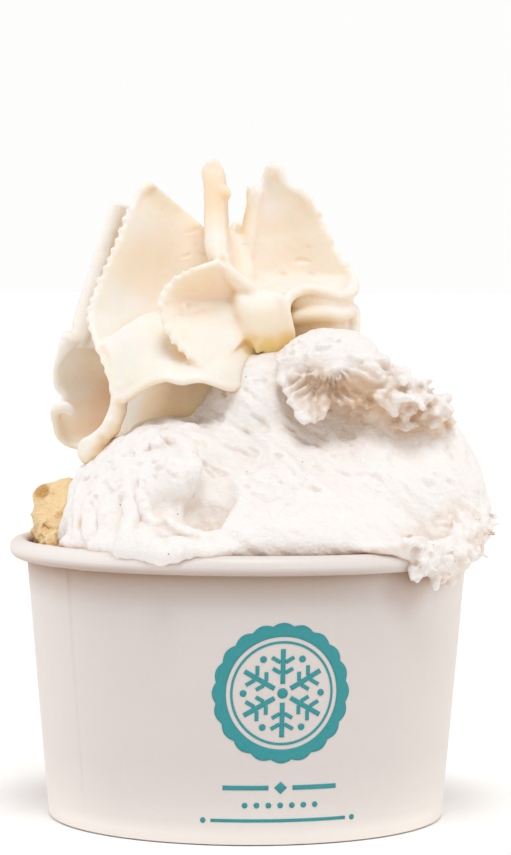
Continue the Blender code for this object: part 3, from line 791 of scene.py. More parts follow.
# stations of (x, z, radius) laid on the front of a piece, half sunk in it
def laidOnFront(piece, stations):
    tree = BVHTree.FromObject(piece, bpy.context.evaluated_depsgraph_get())
    made = []
    for x, z, radius in stations:
        hit = tree.ray_cast(Vector((x, -80.0, z)), Vector((0.0, 1.0, 0.0)))[0]
        y = hit.y if hit else -math.sqrt(max(44.0**2 - x * x, 0.0))
        made.append((x, y + radius * 0.35, z, radius))
    return made


# small lumps and torn tips over a piece where its weights are high; they lean the given way
def sprinkle(piece, weights, count, sizes, seed, lean=(0, 0, 0), long=(1.0, 1.5), torn=0.0, flat=(0.7, 1.1)):
    dice = random.Random(seed)
    points, normals = readPoints(piece), readNormals(piece)
    chosen = dice.choices(range(len(points)), weights=np.maximum(weights, 0.0), k=count)
    made = []
    for i in chosen:
        size = sizes[0] + (sizes[1] - sizes[0]) * dice.random() ** 1.8
        stray = Vector([dice.uniform(-0.6, 0.6) for _ in range(3)])
        way = (Vector(normals[i]) * 0.8 + Vector(lean) + stray).normalized()
        stretch = dice.uniform(*long)
        if dice.random() < torn:
            made.append(tornTip(Vector(points[i]), way, size * 1.5 * stretch, size * 0.95))
        else:
            half = (size * dice.uniform(0.8, 1.1), size * dice.uniform(*flat), size * stretch)
            place = Vector(points[i]) + Vector(normals[i]) * size * dice.uniform(-0.25, 0.35)
            made.append(lump(place, half, towards(way), 2))
    return made


def scoopOut(piece, middle, half, lean):
    cutter = lump(middle, half, (math.radians(-lean), 0.0, 0.0))
    cut = piece.modifiers.new("scoop", "BOOLEAN")
    cut.operation = "DIFFERENCE"
    cut.object = cutter
    applyAll(piece)
    bpy.data.objects.remove(cutter)


# fuses the parts of a food into one skin without loose crumbs
def fused(parts, name, shape, softenTimes):
    food = joined(parts, name)
    largestOnly(voxelFuse(food, shape["voxel"], softenTimes))
    return food, readPoints(food), readNormals(food)


# the lumps and ridges of a gelato run together, scooped out, pushed about and cut off below
def heapBase(name, shape):
    parts = [lump(middle, half, fine=5) for middle, half in shape["lumps"].values()]
    body = joined(parts, name)
    writePoints(body, tucked(readPoints(body), *shape["tuck"]))
    body = joined([body] + [rope(key, stations) for key, stations in shape.get("ridges", {}).items()], name)
    voxelFuse(body, 1.0, 10)
    if shape.get("scoops"):
        for scoop in shape["scoops"]:
            scoopOut(body, *scoop)
        voxelFuse(body, 0.9, 7)
    points = readPoints(body)
    for push in shape["pushes"]:
        points = pushed(points, *push)
    writePoints(body, points)
    cutBelow(body, shape["floor"])
    return body


# the torn flap under the curl, from its hinge line out and down to its lip
flapShape = {
    "hinge": ((5.6, -15.5, 87.2), (9.5, -18.6, 87.6), (13.5, -19.8, 87.4), (18, -19.8, 87), (23.5, -18, 84.8)),
    "lip": (
        (5.8, -17.2, 83.5), (7.3, -19, 80.4), (8.6, -20.2, 77.3), (10.1, -20.8, 75.1), (11.7, -20.8, 75.7),
        (13.5, -20.6, 76), (15.2, -20, 77.5), (16.3, -19.2, 79.4), (17.8, -20, 78.6), (19.6, -20.2, 78.1),
        (20.9, -20, 78.8), (22, -19.2, 80.2), (22.6, -17.8, 82.4),
    ),
    "belly": 1.4, "thick": 1.5,
}


def buildFlap():
    flap = newGrid(60, 20)
    for v in flap.data.vertices:
        along, down = v.co.x + 0.5, v.co.y + 0.5
        top, low = lineAt(flapShape["hinge"], along), lineAt(flapShape["lip"], along)
        belly = flapShape["belly"] * math.sin(math.pi * down)
        scallop = (0.3 * math.sin(along * 23) + 0.2 * math.sin(along * 53 + 1)) * down**4
        v.co = top + (low - top) * down + np.array([0.0, belly, -scallop])
    return thickened(flap, flapShape["thick"])


def buildWhite():
    body = heapBase("whiteGelato", heap)
    points, normals = readPoints(body), readNormals(body)
    x, y, z = points.T
    crestLine, spillLine = heap["ridges"]["crest"], heap["ridges"]["spill"]
    crest = nearLine(points, crestLine, 5.2) * (normals[:, 1] < 0.25) * (normals[:, 2] < 0.75)
    crest *= smoothStep(73.0, 75.5, z)
    spill = nearLine(points, spillLine, 5.2) * (z < 58) * smoothStep(26.0, 30.0, x)
    curl = crest * smoothStep(78.0, 81.0, z) * smoothStep(26.0, 22.0, x)
    crest *= smoothStep(22.0, 26.0, x)
    crumbs = [rope("smear", laidOnFront(body, smear)) for smear in heap["smears"]]
    for weights, key in ((curl, "curl"), (crest, "crest"), (spill, "spill")):
        crumbs += sprinkle(body, weights, **heap["crumbs"][key])
    crumbs += [tornTip(*tip) for tip in heap["tips"]]
    body, points, normals = fused([body, buildFlap()] + crumbs, "whiteGelato", heap, 2)
    x, y, z = points.T

    def grain(name, where=points):
        return noiseAt(where, *heap["noises"][name])

    crest = nearLine(points, crestLine, 7.0) * smoothStep(0.95, 0.6, normals[:, 2])
    crest *= smoothStep(71.5, 74.5, z) * (0.5 + 0.5 * smoothStep(19.0, 26.0, x))
    spill = nearLine(points, spillLine, 7.0) * smoothStep(27.0, 31.0, x)
    left = smoothStep(-2.0, -12.0, x) * smoothStep(82.0, 72.0, z)
    back = smoothStep(0.0, 14.0, y)
    rough = np.clip(crest + spill, 0, 1)
    shift = grain("swell") * (0.35 + 0.5 * rough + 0.9 * left + 0.9 * back)
    shift += (craggyAt(points, *heap["crags"]) - 0.55) * np.clip(rough + 0.12 * left + 0.4 * back, 0, 1)
    # upright smears on the left, slanting streaks on the pressed face
    shift += grain("upright") * 0.4 * left + grain("leftSwell") * 0.6 * left
    slant = points @ np.array([[0.8, 0.0, 0.6], [0.0, 1.0, 0.0], [-0.6, 0.0, 0.8]])
    face = (1 - left) * (1 - rough) * (1 - back)
    shift += grain("streaks", slant) * 0.24 * face
    dented = smoothStep(0.28, 0.6, grain("dents", slant)) * np.clip(0.7 * face + left, 0, 1)
    shift -= 0.6 * dented * smoothStep(52.0, 66.0, z)
    shift += grain("torn") * 0.6 * rough + grain("fine") * (0.1 + 0.12 * rough + 0.06 * left)
    # ribs of the fan under the curl
    fan = heap["fan"]
    right, below = x - fan["hub"][0], fan["hub"][2] - z
    away = np.hypot(right, below)
    spin = np.arctan2(right, below) + fan["bend"] * grain("fanBend")
    onFan = smoothStep(-16.0, -18.0, y) * smoothStep(1.5, 4.0, away) * smoothStep(fan["reach"], 9.5, away)
    onFan *= smoothStep(87.0, 84.5, z)
    rib = (0.6 - np.abs(np.sin(spin * fan["ribs"] / 2))) * fan["deep"] * (0.8 + 0.6 * grain("fanDeep"))
    shift = (shift * (1 - 0.7 * onFan) + rib * onFan) * smoothStep(46.0, 49.0, z)
    writePoints(body, points + normals * shift[:, None])
    return thinOut(body, heap["triangles"])


chunk = {
    "lumps": {
        "mound": ((-25, 12, 50), (16, 20, 11)),
        "knob": ((-34.6, 6.5, 57), (4.7, 8, 6.6)),
        "low": ((-35.4, 3, 53.4), (5.4, 8, 4.6)),
        "foot": ((-33, -4, 50.4), (7, 12, 5)),
        "nubSide": ((-40, 2.6, 60.2), (1.5, 2.2, 1.9)),
        "nubTop": ((-38, 3.6, 61.6), (1.8, 2.4, 1.2)),
        "bulge": ((-39.6, 2, 56.4), (1.9, 3, 2.4)),
    },
    "pushes": (((-38.4, -0.6, 61.4), 2.8, (0.5, 3.4, 0.2)), ((-34.5, -5, 54), 2.4, (0, 2.2, 0.4))),
    # darker spots: (x, z, reach, how much), seen from the front
    "stains": ((-39.2, 61.4, 2, 0.95), (-34.6, 53.6, 1.6, 0.8), (-36.6, 51.6, 1.5, 0.6)),
    "crumbs": {"count": 60, "sizes": (0.5, 1.3), "seed": 21, "torn": 0.1},
    "noises": {"swell": (5, 3, 7), "fine": (1.2, 2, 9), "stains": (1.6, 2, 51)}, "crags": (3, 8),
    "floor": 44, "tuck": (53.6, 51.6), "voxel": 0.4, "triangles": 90000,
}


def buildBiscuit():
    body = heapBase("biscuitGelato", chunk)
    x, y, z = readPoints(body).T
    crumbs = sprinkle(body, (z > 50) * (z < 57.5) * (y < 4), **chunk["crumbs"])
    body, points, normals = fused([body] + crumbs, "biscuitGelato", chunk, 1)
    z = points[:, 2]
    broken = smoothStep(60.0, 55.0, z)
    shift = noiseAt(points, *chunk["noises"]["swell"]) * 0.5 + noiseAt(points, *chunk["noises"]["fine"]) * 0.16
    shift += (craggyAt(points, *chunk["crags"]) - 0.6) * (0.35 + broken)
    shift *= smoothStep(46.0, 49.0, z)
    writePoints(body, points + normals * shift[:, None])
    return thinOut(body, chunk["triangles"])


white = buildWhite()
print("white gelato", len(white.data.polygons))
biscuit = buildBiscuit()
print("biscuit gelato", len(biscuit.data.polygons))


swirl = {
    "axis": (-7, 9), "paintedShadeHigh": 0.06,
    # painted warm shade and glow where the amount is above 0 and painted light where it is below 0: (middle,
    # reach, how much)
    "paintedShading": (
        ((-10.9, -10, 99.6), 7.5, 0.3), ((-14.6, -9, 78), 11, 0.5), ((-18, -10, 77.4), 2.4, 0.5),
        ((3.5, -9.5, 92), 6.5, 0.35), ((-33, 8, 83), 10, -0.55), ((-27, 10, 111), 11, -0.5),
        ((-31, 9, 98), 9, -0.3), ((-6.4, -3, 116), 9, 0.55), ((-17, -1, 104), 9, 0.25), ((8, 4, 107), 7, 0.12),
        ((5, 6, 119), 6, -0.3), ((-24, -4, 94), 8, -0.25),
    ),
    # painted golden glow where light shines through the thinnest cream and in the deepest hollows
    "paintedGlow": (
        ((0.8, -10.2, 89.6), 2.4, 0.7), ((3.6, -10.4, 88.8), 2.8, 0.9), ((7, -9.4, 89.6), 2.6, 0.8),
        ((-18, -10, 77.4), 2.6, 0.5), ((12, -3, 92.4), 5, 0.3), ((11, -3.4, 96.6), 4, 0.25),
    ),
    "core": ((60, 20), (74, 19), (84, 14), (92, 9), (99, 5.6), (106, 3.4), (109, 2)),
    # what a petal is like where it says nothing else
    "petal": {"rootThick": 3.6, "edgeThick": 1.4, "beads": (1.0, 0.0), "beadGap": 2.5},
    "bead": 0.56, "walk": 0.003, "taper": 0.6, "grid": (110, 30), "lipSteps": 150,
    # torn tips along the tongue's lower edge
    "tongueTips": {"count": 9, "from": 0.28, "gap": 0.042, "long": 1.2, "longer": 0.45, "thick": 0.62},
    "noises": {
        "swell": (12, 2, 31), "fine": (3.5, 2, 32), "worn": (14, 2, 34), "tears": (1.9, 2, 33, (1.8, 1.8, 0.7)),
    },
    "tearDeep": 0.24, "floor": 62, "voxel": 0.4, "triangles": 195000,
}
# each petal is a sheet from its root line out to its rim, both through (x, y, z) stations; a rim's
# fourth number is its lip's radius. "belly" swells it between them, "fall" over 1 keeps it level
# from the root and drops it near the rim, "beads" says between which shares of the rim it is beaded
petals = {
    "left": {
        "rim": (
            (-18.4, 6, 120, 1.6), (-20.8, 5, 117.8, 1.1), (-22.5, 3, 113.8, 0.8), (-24.3, 1, 109, 0.75),
            (-26.2, -1, 104.3, 0.75), (-28.1, -3, 99.6, 0.75), (-29.5, -5, 95.4, 0.75), (-29.1, -7, 91.8, 0.8),
            (-27.7, -9, 88, 0.8), (-26.1, -11, 84.4, 0.9), (-25, -12.6, 81, 1.1), (-24, -13, 78, 1.6),
        ),
        "root": (
            (-7.6, 7.4, 110.4), (-7, 5, 104), (-7.4, 2.6, 98), (-9, -1, 94), (-14, -5, 91), (-18, -10, 83),
        ),
        "belly": (0, 2, 0), "beads": (0.14, 0.84),
    },
    "lowerLip": {
        "rim": (
            (-24.2, -13.2, 79.2, 1.2), (-22.3, -14.5, 79.4, 1), (-20.3, -15.6, 80.8, 0.9),
            (-18, -17, 82.2, 0.85), (-15.2, -18, 83, 0.8), (-12.1, -18.3, 82.5, 0.8), (-8.9, -18.3, 82.9, 0.8),
            (-6, -17.4, 82.2, 0.8), (-3, -15, 81.4, 0.9), (1, -11, 82, 0.9),
        ),
        "root": ((-27, -8.5, 88.5), (-20, -5, 93), (-12, -3, 94.5), (-4, -5, 92), (2, -7, 86)),
        "belly": (0, 0, 0.8), "fall": 1.4, "rootThick": 3,
    },
    "spine": {
        "rim": (
            (-6.9, -1, 123, 1), (-6.9, -1.2, 121.4, 1.7), (-6.5, -2.2, 118, 2.1), (-6.3, -4, 113.7, 2.1),
            (-6.2, -6.5, 110.2, 2.1), (-6.1, -9, 107.2, 2), (-5.6, -11, 105, 1.4),
        ),
        "root": ((-6, 6, 118), (-5.4, 7, 110), (-4, 4, 102), (-3, 0, 99)),
        "edgeThick": 3.8, "rootThick": 4.2,
    },
    "scroll": {
        "rim": (
            (-5, -12, 104.6, 1.1), (-7.5, -13, 104, 0.9), (-9.9, -14, 103.2, 0.75), (-12.1, -15, 102, 0.7),
            (-14, -15.6, 100.6, 0.7), (-15.2, -16, 98.9, 0.7), (-15.9, -16.5, 96.7, 0.7),
            (-15.5, -16.8, 94.1, 0.7), (-14.5, -17, 91.9, 0.7), (-12.9, -17, 89.6, 0.7), (-11, -17, 87.6, 0.7),
            (-9.2, -17, 86, 0.75), (-8.1, -17, 83.8, 0.8),
        ),
        "root": (
            (1, -4, 98.4), (-3, -5, 97.2), (-8, -8, 96.8), (-12, -12, 96.3), (-7, -8, 96), (-1, -6, 95.6),
            (3, -7, 93),
        ),
        "belly": (0, 0.8, 0), "rootThick": 3.2, "edgeThick": 1.2, "beads": (0.12, 0.9), "beadGap": 2.3,
    },
    "right": {
        "rim": (
            (3.3, 6, 122.2, 1.2), (5.4, 6, 122.8, 1.2), (7.4, 6, 119.6, 1), (10.2, 6, 118, 1),
            (12.2, 6.3, 115.4, 0.8), (13.6, 7, 112.5, 0.8), (15, 7, 109.8, 0.8), (16.3, 7, 107, 0.8),
            (18.3, 6.6, 104.3, 0.9), (20, 6, 101.9, 1.1), (20.2, 4, 100, 1.4), (19.2, 1, 98.9, 1.4),
            (17, -1, 98.4, 1.3), (14.5, -3, 99.2, 1.2), (11.6, -5, 99.8, 1.1), (9.2, -6.6, 99.4, 1.1),
            (7.6, -7.8, 98, 1.1), (7, -8.6, 95.8, 1), (7.6, -9, 93.6, 0.9), (8.4, -9, 91.6, 0.8),
        ),
        "root": (
            (1, 6.5, 119), (0.2, 6.5, 115.5), (-0.5, 6, 111.5), (-1, 5, 107.5), (-1.5, 4, 104.5),
            (-2, 2.5, 102), (-2, 1, 100.8), (-2, -1, 100.2), (-2, -3, 99.8), (-1, -6, 98.6),
        ),
        "belly": (0, 1.6, -0.6), "edgeThick": 1.5, "beads": (0.1, 0.44), "beadGap": 3.1,
    },
    "tongue": {
        "rim": (
            (7, -8, 96.6, 0.8), (7.6, -8.6, 93.6, 0.8), (8.3, -8.8, 91.2, 0.8), (7.6, -9.2, 89.5, 0.7),
            (5, -10, 88.9, 0.6), (2.6, -10.4, 89.3, 0.6), (0.8, -10.2, 90.2, 0.6), (-0.8, -9.4, 92, 0.7),
            (-2, -8, 94.8, 0.8), (-2.6, -6.5, 97.5, 0.9),
        ),
        "root": ((6.6, -6.6, 98.2), (5, -6.4, 98.6), (2.6, -6.2, 98.8), (0, -6, 98.8), (-1.5, -6, 98.6)),
        "belly": (0, -1.2, 0.8), "rootThick": 2.6, "edgeThick": 1.5, "beads": (0.2, 0.66), "beadGap": 1.7,
    },
    "farHigh": {
        "rim": (
            (-25.3, 11, 116.3, 1.4), (-26, 10.8, 113.4, 1.5), (-27.4, 10.4, 109.2, 1.6),
            (-28.6, 9.8, 104.9, 1.8), (-29.8, 9.2, 100.5, 1.9), (-31.1, 8.6, 95.7, 2.1), (-32, 7.8, 91.8, 2.1),
            (-33.2, 7, 88.4, 1.7),
        ),
        "root": ((-11, 12, 112.5), (-12, 12, 105), (-13, 12, 98), (-15, 12, 92), (-17, 12, 86)),
        "belly": (0, 2, 0),
    },
    "farLow": {
        "rim": (
            (-33.4, 5.5, 91, 2), (-35.6, 7, 87.6, 1.3), (-37, 8.5, 84.2, 0.8), (-36.9, 9.5, 81, 0.7),
            (-35.4, 10, 78.8, 0.6), (-35.8, 9.5, 77.4, 0.7), (-37.4, 8.5, 76, 0.8), (-37.1, 8.5, 73.6, 0.6),
            (-36.5, 9, 71.2, 0.6), (-34.5, 9.5, 69.6, 0.6), (-31, 9, 69, 0.6),
        ),
        "root": ((-22, 12, 91), (-22, 16, 86), (-21, 18, 80), (-21, 16, 74), (-22, 11, 69)),
        "belly": (0, 3, 0),
    },
}
# the petals behind are alike: (turn, reach, z, lip) stations of a rim round the axis, and their turns
behind = {
    "turns": (134, 173, -147),
    "rim": (
        (-4, 25.5, 74, 0.9), (-3, 28.5, 84, 0.8), (-1, 27.5, 93, 0.8), (3, 22, 102, 0.9), (8, 14, 109, 1.1),
        (12, 7, 112.4, 1),
    ),
    "root": ((6, 8, 76), (6, 6, 90), (4, 3, 100), (2, 2.5, 106)),
}
# ropes of cream through (x, y, z, radius) and single lumps (middle, half sizes)
ropes = {
    "arm": (
        (-23.4, -11.5, 80, 1.8), (-24.6, -12.6, 75.8, 1.9), (-25.8, -12.6, 73.6, 2.3), (-27.2, -12.2, 71.8, 2),
        (-29, -11.5, 69.8, 2.3), (-30.4, -11.2, 67.4, 1.9),
    ),
    "neck": ((-5.8, -11, 104.8, 1.1), (-3.2, -9.2, 102.4, 1.5), (-0.8, -7, 100.2, 1.8), (1.6, -5.2, 98.4, 1.4)),
    "rightRoot": ((1.8, 6.3, 119.4, 1.2), (0.8, 6.2, 115, 1.6), (0, 5.4, 110, 1.9), (-1, 4, 104, 2.1)),
    "valley": ((-12.4, -12, 96.7, 0.8), (-9, -9.2, 96.7, 1.5), (-4, -5.8, 96.7, 1.8), (1, -4.6, 96.7, 1.8)),
    "wave": (
        (6.5, -5.6, 93.8, 1.5), (9.8, -5, 94.6, 1.6), (13.6, -3.4, 95, 1.6), (16.8, -1, 94.8, 1.6),
        (19, 2, 95.6, 1.5), (20, 5, 96.2, 1.4),
    ),
    "waveBack": ((7, -4.4, 97, 1.6), (12, -2.8, 97.4, 1.9), (17, 0.6, 96.8, 1.9), (19.4, 4, 97.6, 1.6)),
    "web": ((-4.4, 4, 111, 1.6), (-2.6, 3.4, 107, 2.4), (-1.6, 2, 102.5, 3), (-1.4, -1, 98, 3.2)),
    "rightFoot": ((20, 5.5, 97, 1.3), (19.8, 4.5, 93, 1.7), (19.6, 4, 88, 1.8)),
    "fluteFront": ((15.4, 1.6, 96.6, 2), (16.4, 3.4, 92, 2.9), (15.6, 4, 86, 3.2), (14.6, 4, 82, 3)),
    "fluteSide": ((13.6, 6.2, 98.4, 2), (15.4, 8.4, 93, 3.1), (14.8, 9.6, 86, 3.5), (13, 10, 78, 3.4)),
    "fluteFar": ((8.8, 9.6, 99.4, 2), (10.6, 12.6, 93.5, 3.1), (10.2, 14, 86, 3.5), (9, 14.4, 77, 3.4)),
    "fluteBack": ((2.4, 11, 101, 2), (4, 14.8, 94.5, 3.1), (4, 16.6, 87, 3.5), (3.4, 17.8, 75, 3.4)),
    "curledLip": ((-37, 8.5, 74.6, 0.9), (-36.8, 7, 76.4, 1.1), (-34.8, 6.4, 76.8, 1.2), (-33.4, 7, 75.2, 0.7)),
}
blobs = {
    "bulb": ((-4.9, -2.6, 117.6), (1.6, 1.8, 1.7)),
    "cap": ((-6.8, -1, 122.8), (1.3, 1.3, 1.6)),
    "armKnob": ((-28.6, -12, 69.4), (2.5, 2.2, 2.4)),
    "armTail": ((-30, -11.6, 65), (0.7, 0.7, 1.7)),
    "belly": ((7.4, 5, 91), (11.6, 9.8, 7.6)),
    "plug": ((-0.6, -7.4, 88.4), (3, 2.4, 2.6)),
    "heart": ((-3, -0.6, 91.6), (8, 8, 7)),
}


def petalPoint(petal, along, across):
    rim, root = lineAt(petal["rim"], along)[:3], lineAt(petal["root"], along)
    place = root + (rim - root) * across
    place[2] = root[2] + (rim[2] - root[2]) * across ** petal.get("fall", 1.0)
    return Vector(place + np.array(petal.get("belly", (0.0, 0.0, 0.0))) * math.sin(math.pi * across))


def buildPetal(name, petal, seed):
    petal = {**swirl["petal"], **petal}
    rootThick, edgeThick, beadGap = petal["rootThick"], petal["edgeThick"], petal["beadGap"]
    sheet = newGrid(*swirl["grid"])
    sheet.name = name
    shares = []
    for v in sheet.data.vertices:
        along, across = v.co.x + 0.5, v.co.y + 0.5
        v.co = petalPoint(petal, along, across)
        shares.append(1.0 - across ** swirl["taper"] * (1.0 - edgeThick / rootThick))
    taper = sheet.vertex_groups.new(name="taper")
    for i, share in enumerate(shares):
        taper.add([i], min(share, 1.0), "REPLACE")
    made = [thickened(sheet, rootThick, "taper")]
    at, last = petal["beads"]
    dice = random.Random(seed)
    before, gone = petalPoint(petal, at, 1.0), 0.0
    while at < last:
        here = petalPoint(petal, at, 1.0)
        gone += (here - before).length
        before = here
        if gone > beadGap * dice.uniform(0.7, 1.3):
            gone = 0.0
            outward = (here - petalPoint(petal, at, 0.9)).normalized()
            size = swirl["bead"] * dice.uniform(0.75, 1.25)
            out = lineAt(petal["rim"], at)[3] * 0.75 + dice.uniform(-0.15, 0.15)
            made.append(lump(here + outward * out, (size, size, size * 1.3), fine=2))
        at += swirl["walk"]
    shares = [i / 50 for i in range(51)]
    edge = [(*petalPoint(petal, share, 0.99), lineAt(petal["rim"], share)[3]) for share in shares]
    made.append(rope(name + "Lip", edge, swirl["lipSteps"]))
    return made


def buildCream():
    profile = [(radius, z) for z, radius in swirl["core"]]
    core = turnedSheet("core", [(0.5, profile[0][1])] + profile + [(0.5, profile[-1][1] + 2)], 48)
    onWhole(core, bpy.ops.mesh.fill_holes, sides=0)
    core.location = (*swirl["axis"], 0.0)
    parts = [core]
    for i, (name, petal) in enumerate(petals.items()):
        parts += buildPetal(name, petal, 40 + i)
    for turn in behind["turns"]:
        rim = [(*around(turn + slip, reach, z, swirl["axis"]), lip) for slip, reach, z, lip in behind["rim"]]
        root = [tuple(around(turn + slip, reach, z, swirl["axis"])) for slip, reach, z in behind["root"]]
        parts += buildPetal("behind", {"rim": rim, "root": root, "beads": (0.1, 0.9)}, 60)
    parts += [rope(name, stations) for name, stations in ropes.items()]
    parts += [lump(middle, half) for middle, half in blobs.values()]
    tips = swirl["tongueTips"]
    for i in range(tips["count"]):
        at = tips["from"] + tips["gap"] * i
        place = lineAt(petals["tongue"]["rim"], at)[:3] + np.array((0.0, -0.1, -0.3))
        long = tips["long"] + tips["longer"] * (i % 3)
        parts.append(tornTip(place, (0.2 * (-1) ** i, -0.1, -1.0), long, tips["thick"]))
    cream, points, normals = fused(parts, "pipedCream", swirl, 2)
    noises = swirl["noises"]
    onArm = smoothStep(5.0, 3.0, lineDistance(points, ropes["arm"]))
    shift = noiseAt(points, *noises["swell"]) * 0.4 + noiseAt(points, *noises["fine"]) * (0.12 + 0.5 * onArm)
    worn = smoothStep(0.1, 0.4, noiseAt(points, *noises["worn"]))
    shift -= smoothStep(0.44, 0.66, noiseAt(points, *noises["tears"])) * swirl["tearDeep"] * worn
    writePoints(cream, points + normals * shift[:, None])
    cutBelow(cream, swirl["floor"])
    return thinOut(cream, swirl["triangles"])


cream = buildCream()
print("cream", len(cream.data.polygons))


shade = {
    # rays from each point: how far they go, how many, how they wind, where they start
    "reach": 14.0, "rays": 8, "winding": 2.39996, "lift": 0.25,
    # small hollows count too: how deep and how much
    "hollow": (-0.1, 0.3), "gain": 1.15, "power": 1.2,
    # painted shadow of the drip on the wall beside it
    "drip": (29.5, -30.0, 46.0), "dripShade": 0.6,
}


# painted shade: how shut in each point is, from 0 in the open to 1: rays from a point that soon meet something
def measurePaintedShade(pieces):
    trees = [BVHTree.FromObject(piece, bpy.context.evaluated_depsgraph_get()) for piece in pieces]
    spread = []
    for i in range(shade["rays"]):
        up = 1 - (i + 0.5) / shade["rays"]
        spin = i * shade["winding"]
        flat = math.sqrt(1 - up * up)
        spread.append(Vector((flat * math.cos(spin), flat * math.sin(spin), up)))
    for piece in pieces:
        points, normals = readPoints(piece), readNormals(piece)
        paintedShadeAndStains = np.zeros(len(points))
        for i in range(len(points)):
            normal = Vector(normals[i])
            start = Vector(points[i]) + normal * shade["lift"]
            turn = normal.to_track_quat("Z", "Y")
            for ray in spread:
                direction = turn @ ray
                nearest = shade["reach"]
                for tree in trees:
                    hit = tree.ray_cast(start, direction, nearest)
                    if hit[3] is not None:
                        nearest = min(nearest, hit[3])
                paintedShadeAndStains[i] += (1.0 - nearest / shade["reach"]) * ray.z
        paintedShadeAndStains = blurOver(piece, paintedShadeAndStains / sum(r.z for r in spread), 3)
        # a hollow's point lies below its neighbours' mean
        smooth = np.stack([blurOver(piece, points[:, k], 5) for k in range(3)], 1)
        hollow = np.clip(((smooth - points) * normals).sum(1), *shade["hollow"])
        paintedShadeAndStains = np.clip(paintedShadeAndStains, 0, 1) ** shade["power"] * shade["gain"] + blurOver(piece, hollow, 2)
        setAttribute(piece, "paintedShadeAndStains", np.clip(paintedShadeAndStains, 0, 1))


def shadeCream():
    points = readPoints(cream)
    # painted shade from the measured hollows, and painted shade on faces that do not face up
    paintedShadingSum = 1.35 * readPaintedShade(cream) + 0.3 * np.clip(0.75 - readNormals(cream)[:, 2], 0.0, 1.2)
    # painted shade on the upper swirl, then painted shade, glow and light at the given spots
    paintedShadingSum += swirl["paintedShadeHigh"] * smoothStep(96.0, 104.0, points[:, 2])
    for middle, reach, amount in swirl["paintedShading"]:
        paintedShadingSum += amount * spotAt(points, middle, reach)
    setAttribute(cream, "paintedShadeAndStains", np.clip(paintedShadingSum, 0, 1))
    paintedGlowAmount = np.zeros(len(points))
    for middle, reach, amount in swirl["paintedGlow"]:
        paintedGlowAmount = np.maximum(paintedGlowAmount, amount * spotAt(points, middle, reach, 1.15))
    setAttribute(cream, "paintedGlow", paintedGlowAmount)


def shadeWhite():
    points = readPoints(white)
    # painted warm shade at the given spots, only on faces that do not face up, on top of the painted shade
    paintedShadingSum = sum(amount * spotAt(points, middle, reach) for middle, reach, amount in heap["paintedShading"])
    paintedShadingSum *= smoothStep(0.8, 0.15, readNormals(white)[:, 2])
    setAttribute(white, "paintedShadeAndStains", np.clip(1.15 * readPaintedShade(white) + paintedShadingSum, 0, 1))


def shadeBiscuit():
    points = readPoints(biscuit)
    # painted shade from the measured hollows, with real darker stains added at the given spots
    biscuitShadeAndStains = readPaintedShade(biscuit)
    uneven = 0.3 * noiseAt(points, *chunk["noises"]["stains"])
    for x, z, reach, amount in chunk["stains"]:
        away = np.hypot(points[:, 0] - x, points[:, 2] - z) / reach + uneven
        biscuitShadeAndStains += amount * smoothStep(1.0, 0.6, away) * (points[:, 1] < 6.0)
    setAttribute(biscuit, "paintedShadeAndStains", np.clip(biscuitShadeAndStains, 0, 1))


def shadeWall():
    points = readPoints(wall)
    x, y, z = points.T
    # painted shadow under the rolled rim, darker on the left and fainter on the right, and painted shadow
    # beside the drip
    paintedRimAndDripShadow = smoothStep(41.0, 48.4, z) * smoothStep(50.6, 49.4, z)
    paintedRimAndDripShadow *= 1.0 + 0.3 * smoothStep(-5.0, -35.0, x) - 0.85 * smoothStep(12.0, 36.0, x)
    dripAway = np.linalg.norm(points - np.array(shade["drip"]), axis=1)
    paintedRimAndDripShadow += shade["dripShade"] * smoothStep(8.0, 2.0, dripAway)
    setAttribute(wall, "paintedShadeAndStains", np.clip(1.2 * readPaintedShade(wall) + 0.55 * paintedRimAndDripShadow, 0, 1))
    # painted light: the board is made paler at its foot, at both sides and on its rim
    paintedLight = 0.5 * smoothStep(13.0, 0.0, z) + 0.5 * smoothStep(4.5, 0.5, z)
    paintedLight += 0.45 * smoothStep(22.0, 43.0, np.abs(x - 1.0))
    paintedRimLight = (0.35 + 0.35 * smoothStep(-8.0, -30.0, x)) * smoothStep(49.5, 51.0, z)
    setAttribute(wall, "paintedLight", np.clip(np.maximum(paintedLight, paintedRimLight), 0, 1))


measurePaintedShade([white, biscuit, cream, wall])
shadeCream()
shadeWhite()
shadeBiscuit()
shadeWall()
print("shading measured")

finished(wall, "tubWall", paperFinish, ["cup_wall"])
finished(base, "tubBase", paperFinish, ["cup_base"])
finished(badge, "printedMotif", inkFinish, ())
finished(white, "whiteGelato", whiteFinish, ["white_gelato"])
finished(biscuit, "biscuitGelato", biscuitFinish, ["biscuit_gelato"])
finished(cream, "pipedCream", creamFinish, ["whipped_cream"])


studio = {
    "eye": (1.36, -620.0, 102.0), "down": 0.046, "roll": -0.0054, "lens": 137.7, "sensor": 36.0,
    "clip": (0.01, 80.0), "far": (0.99, 0.985, 0.98),
    "floorSize": 40.0, "floor": (1.0, 1.0, 1.0), "floorBounce": (0.985, 0.965, 0.945),
    "sun": 1.42, "sunAngle": 22.0, "sunFrom": (0.03, -0.45, 1.0),
    "roomFront": 0.33, "roomBack": 0.58, "roomSides": 0.86,
    "roomLeft": (1.0, 0.965, 0.955), "roomRight": (1.0, 0.96, 0.915),
}


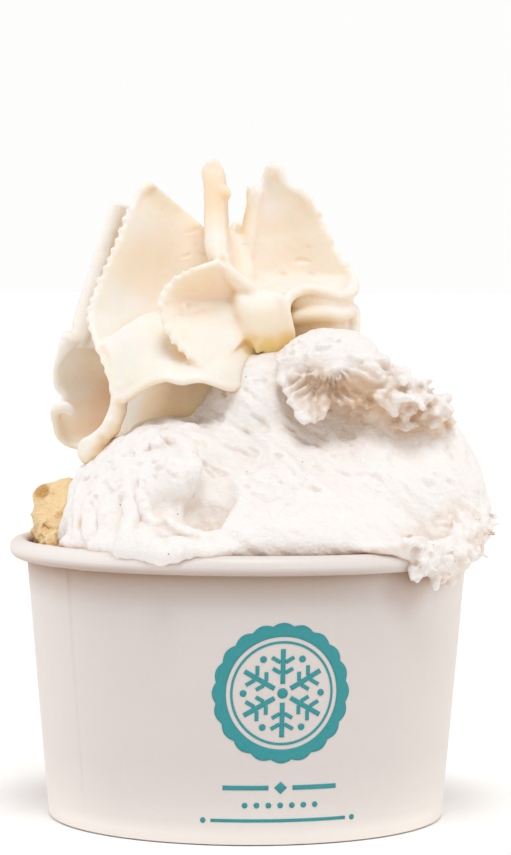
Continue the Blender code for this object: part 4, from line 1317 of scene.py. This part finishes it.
# the room is dimmer in front than behind, bright at both sides, pinkish on the left and warm on the right
def buildRoom():
    world = bpy.data.worlds.new("paleRoom")
    bpy.context.scene.world = world
    world.use_nodes = True
    tree = world.node_tree
    apart = newNode(tree, "SeparateXYZ", Vector=newNode(tree, "TexCoord").outputs["Generated"]).outputs
    across = mathNode(tree, "MULTIPLY_ADD", apart["X"], 0.5, 0.5)
    front, back = 0.5 * studio["roomFront"], 0.5 * studio["roomBack"]
    deep = mathNode(tree, "MULTIPLY_ADD", apart["Y"], back - front, back + front)
    sides = mathNode(tree, "POWER", mathNode(tree, "ABSOLUTE", apart["X"]), 2.0)
    sides = mathNode(tree, "MULTIPLY", sides, studio["roomSides"])
    tint = mixNode(tree, across, studio["roomLeft"], studio["roomRight"])
    room = fill(tree, tree.nodes["Background"], Color=tint, Strength=mathNode(tree, "ADD", deep, sides))
    seen = newNode(tree, "Background", Color=studio["far"])
    both = newNode(tree, "MixShader")
    cameraRay = newNode(tree, "LightPath").outputs["Is Camera Ray"]
    for socket, value in zip(both.inputs, (cameraRay, room.outputs[0], seen.outputs[0])):
        put(tree, socket, value)
    fill(tree, tree.nodes["World Output"], Surface=both.outputs[0])


def buildStudio():
    deselectAll()
    bpy.ops.mesh.primitive_plane_add(size=studio["floorSize"], location=(0, 0, -0.0001))
    floor = bpy.context.object
    floor.name = "floor"
    made, tree, shader = newFinish("paleFloor", Roughness=1.0, Specular_IOR_Level=0.0)
    cameraRay = newNode(tree, "LightPath").outputs["Is Camera Ray"]
    fill(tree, shader, Base_Color=mixNode(tree, cameraRay, studio["floorBounce"], studio["floor"]))
    floor.data.materials.append(made)
    buildRoom()
    bpy.ops.object.light_add(type="SUN", location=(0.3, -0.5, 0.8))
    sun = bpy.context.object
    sun.name = "softSun"
    sun.data.energy = studio["sun"]
    sun.data.angle = math.radians(studio["sunAngle"])
    sun.rotation_euler = (-Vector(studio["sunFrom"])).to_track_quat("-Z", "Y").to_euler()
    bpy.ops.object.camera_add(location=[c * mm for c in studio["eye"]])
    camera = bpy.context.object
    camera.name = "camera"
    camera.data.lens = studio["lens"]
    camera.data.sensor_width = studio["sensor"]
    camera.data.clip_start, camera.data.clip_end = studio["clip"]
    camera.rotation_euler = (math.pi / 2 - studio["down"], studio["roll"], 0.0)
    bpy.context.scene.camera = camera
    bpy.context.scene.view_settings.view_transform = "Standard"


buildStudio()
print("studio ready")
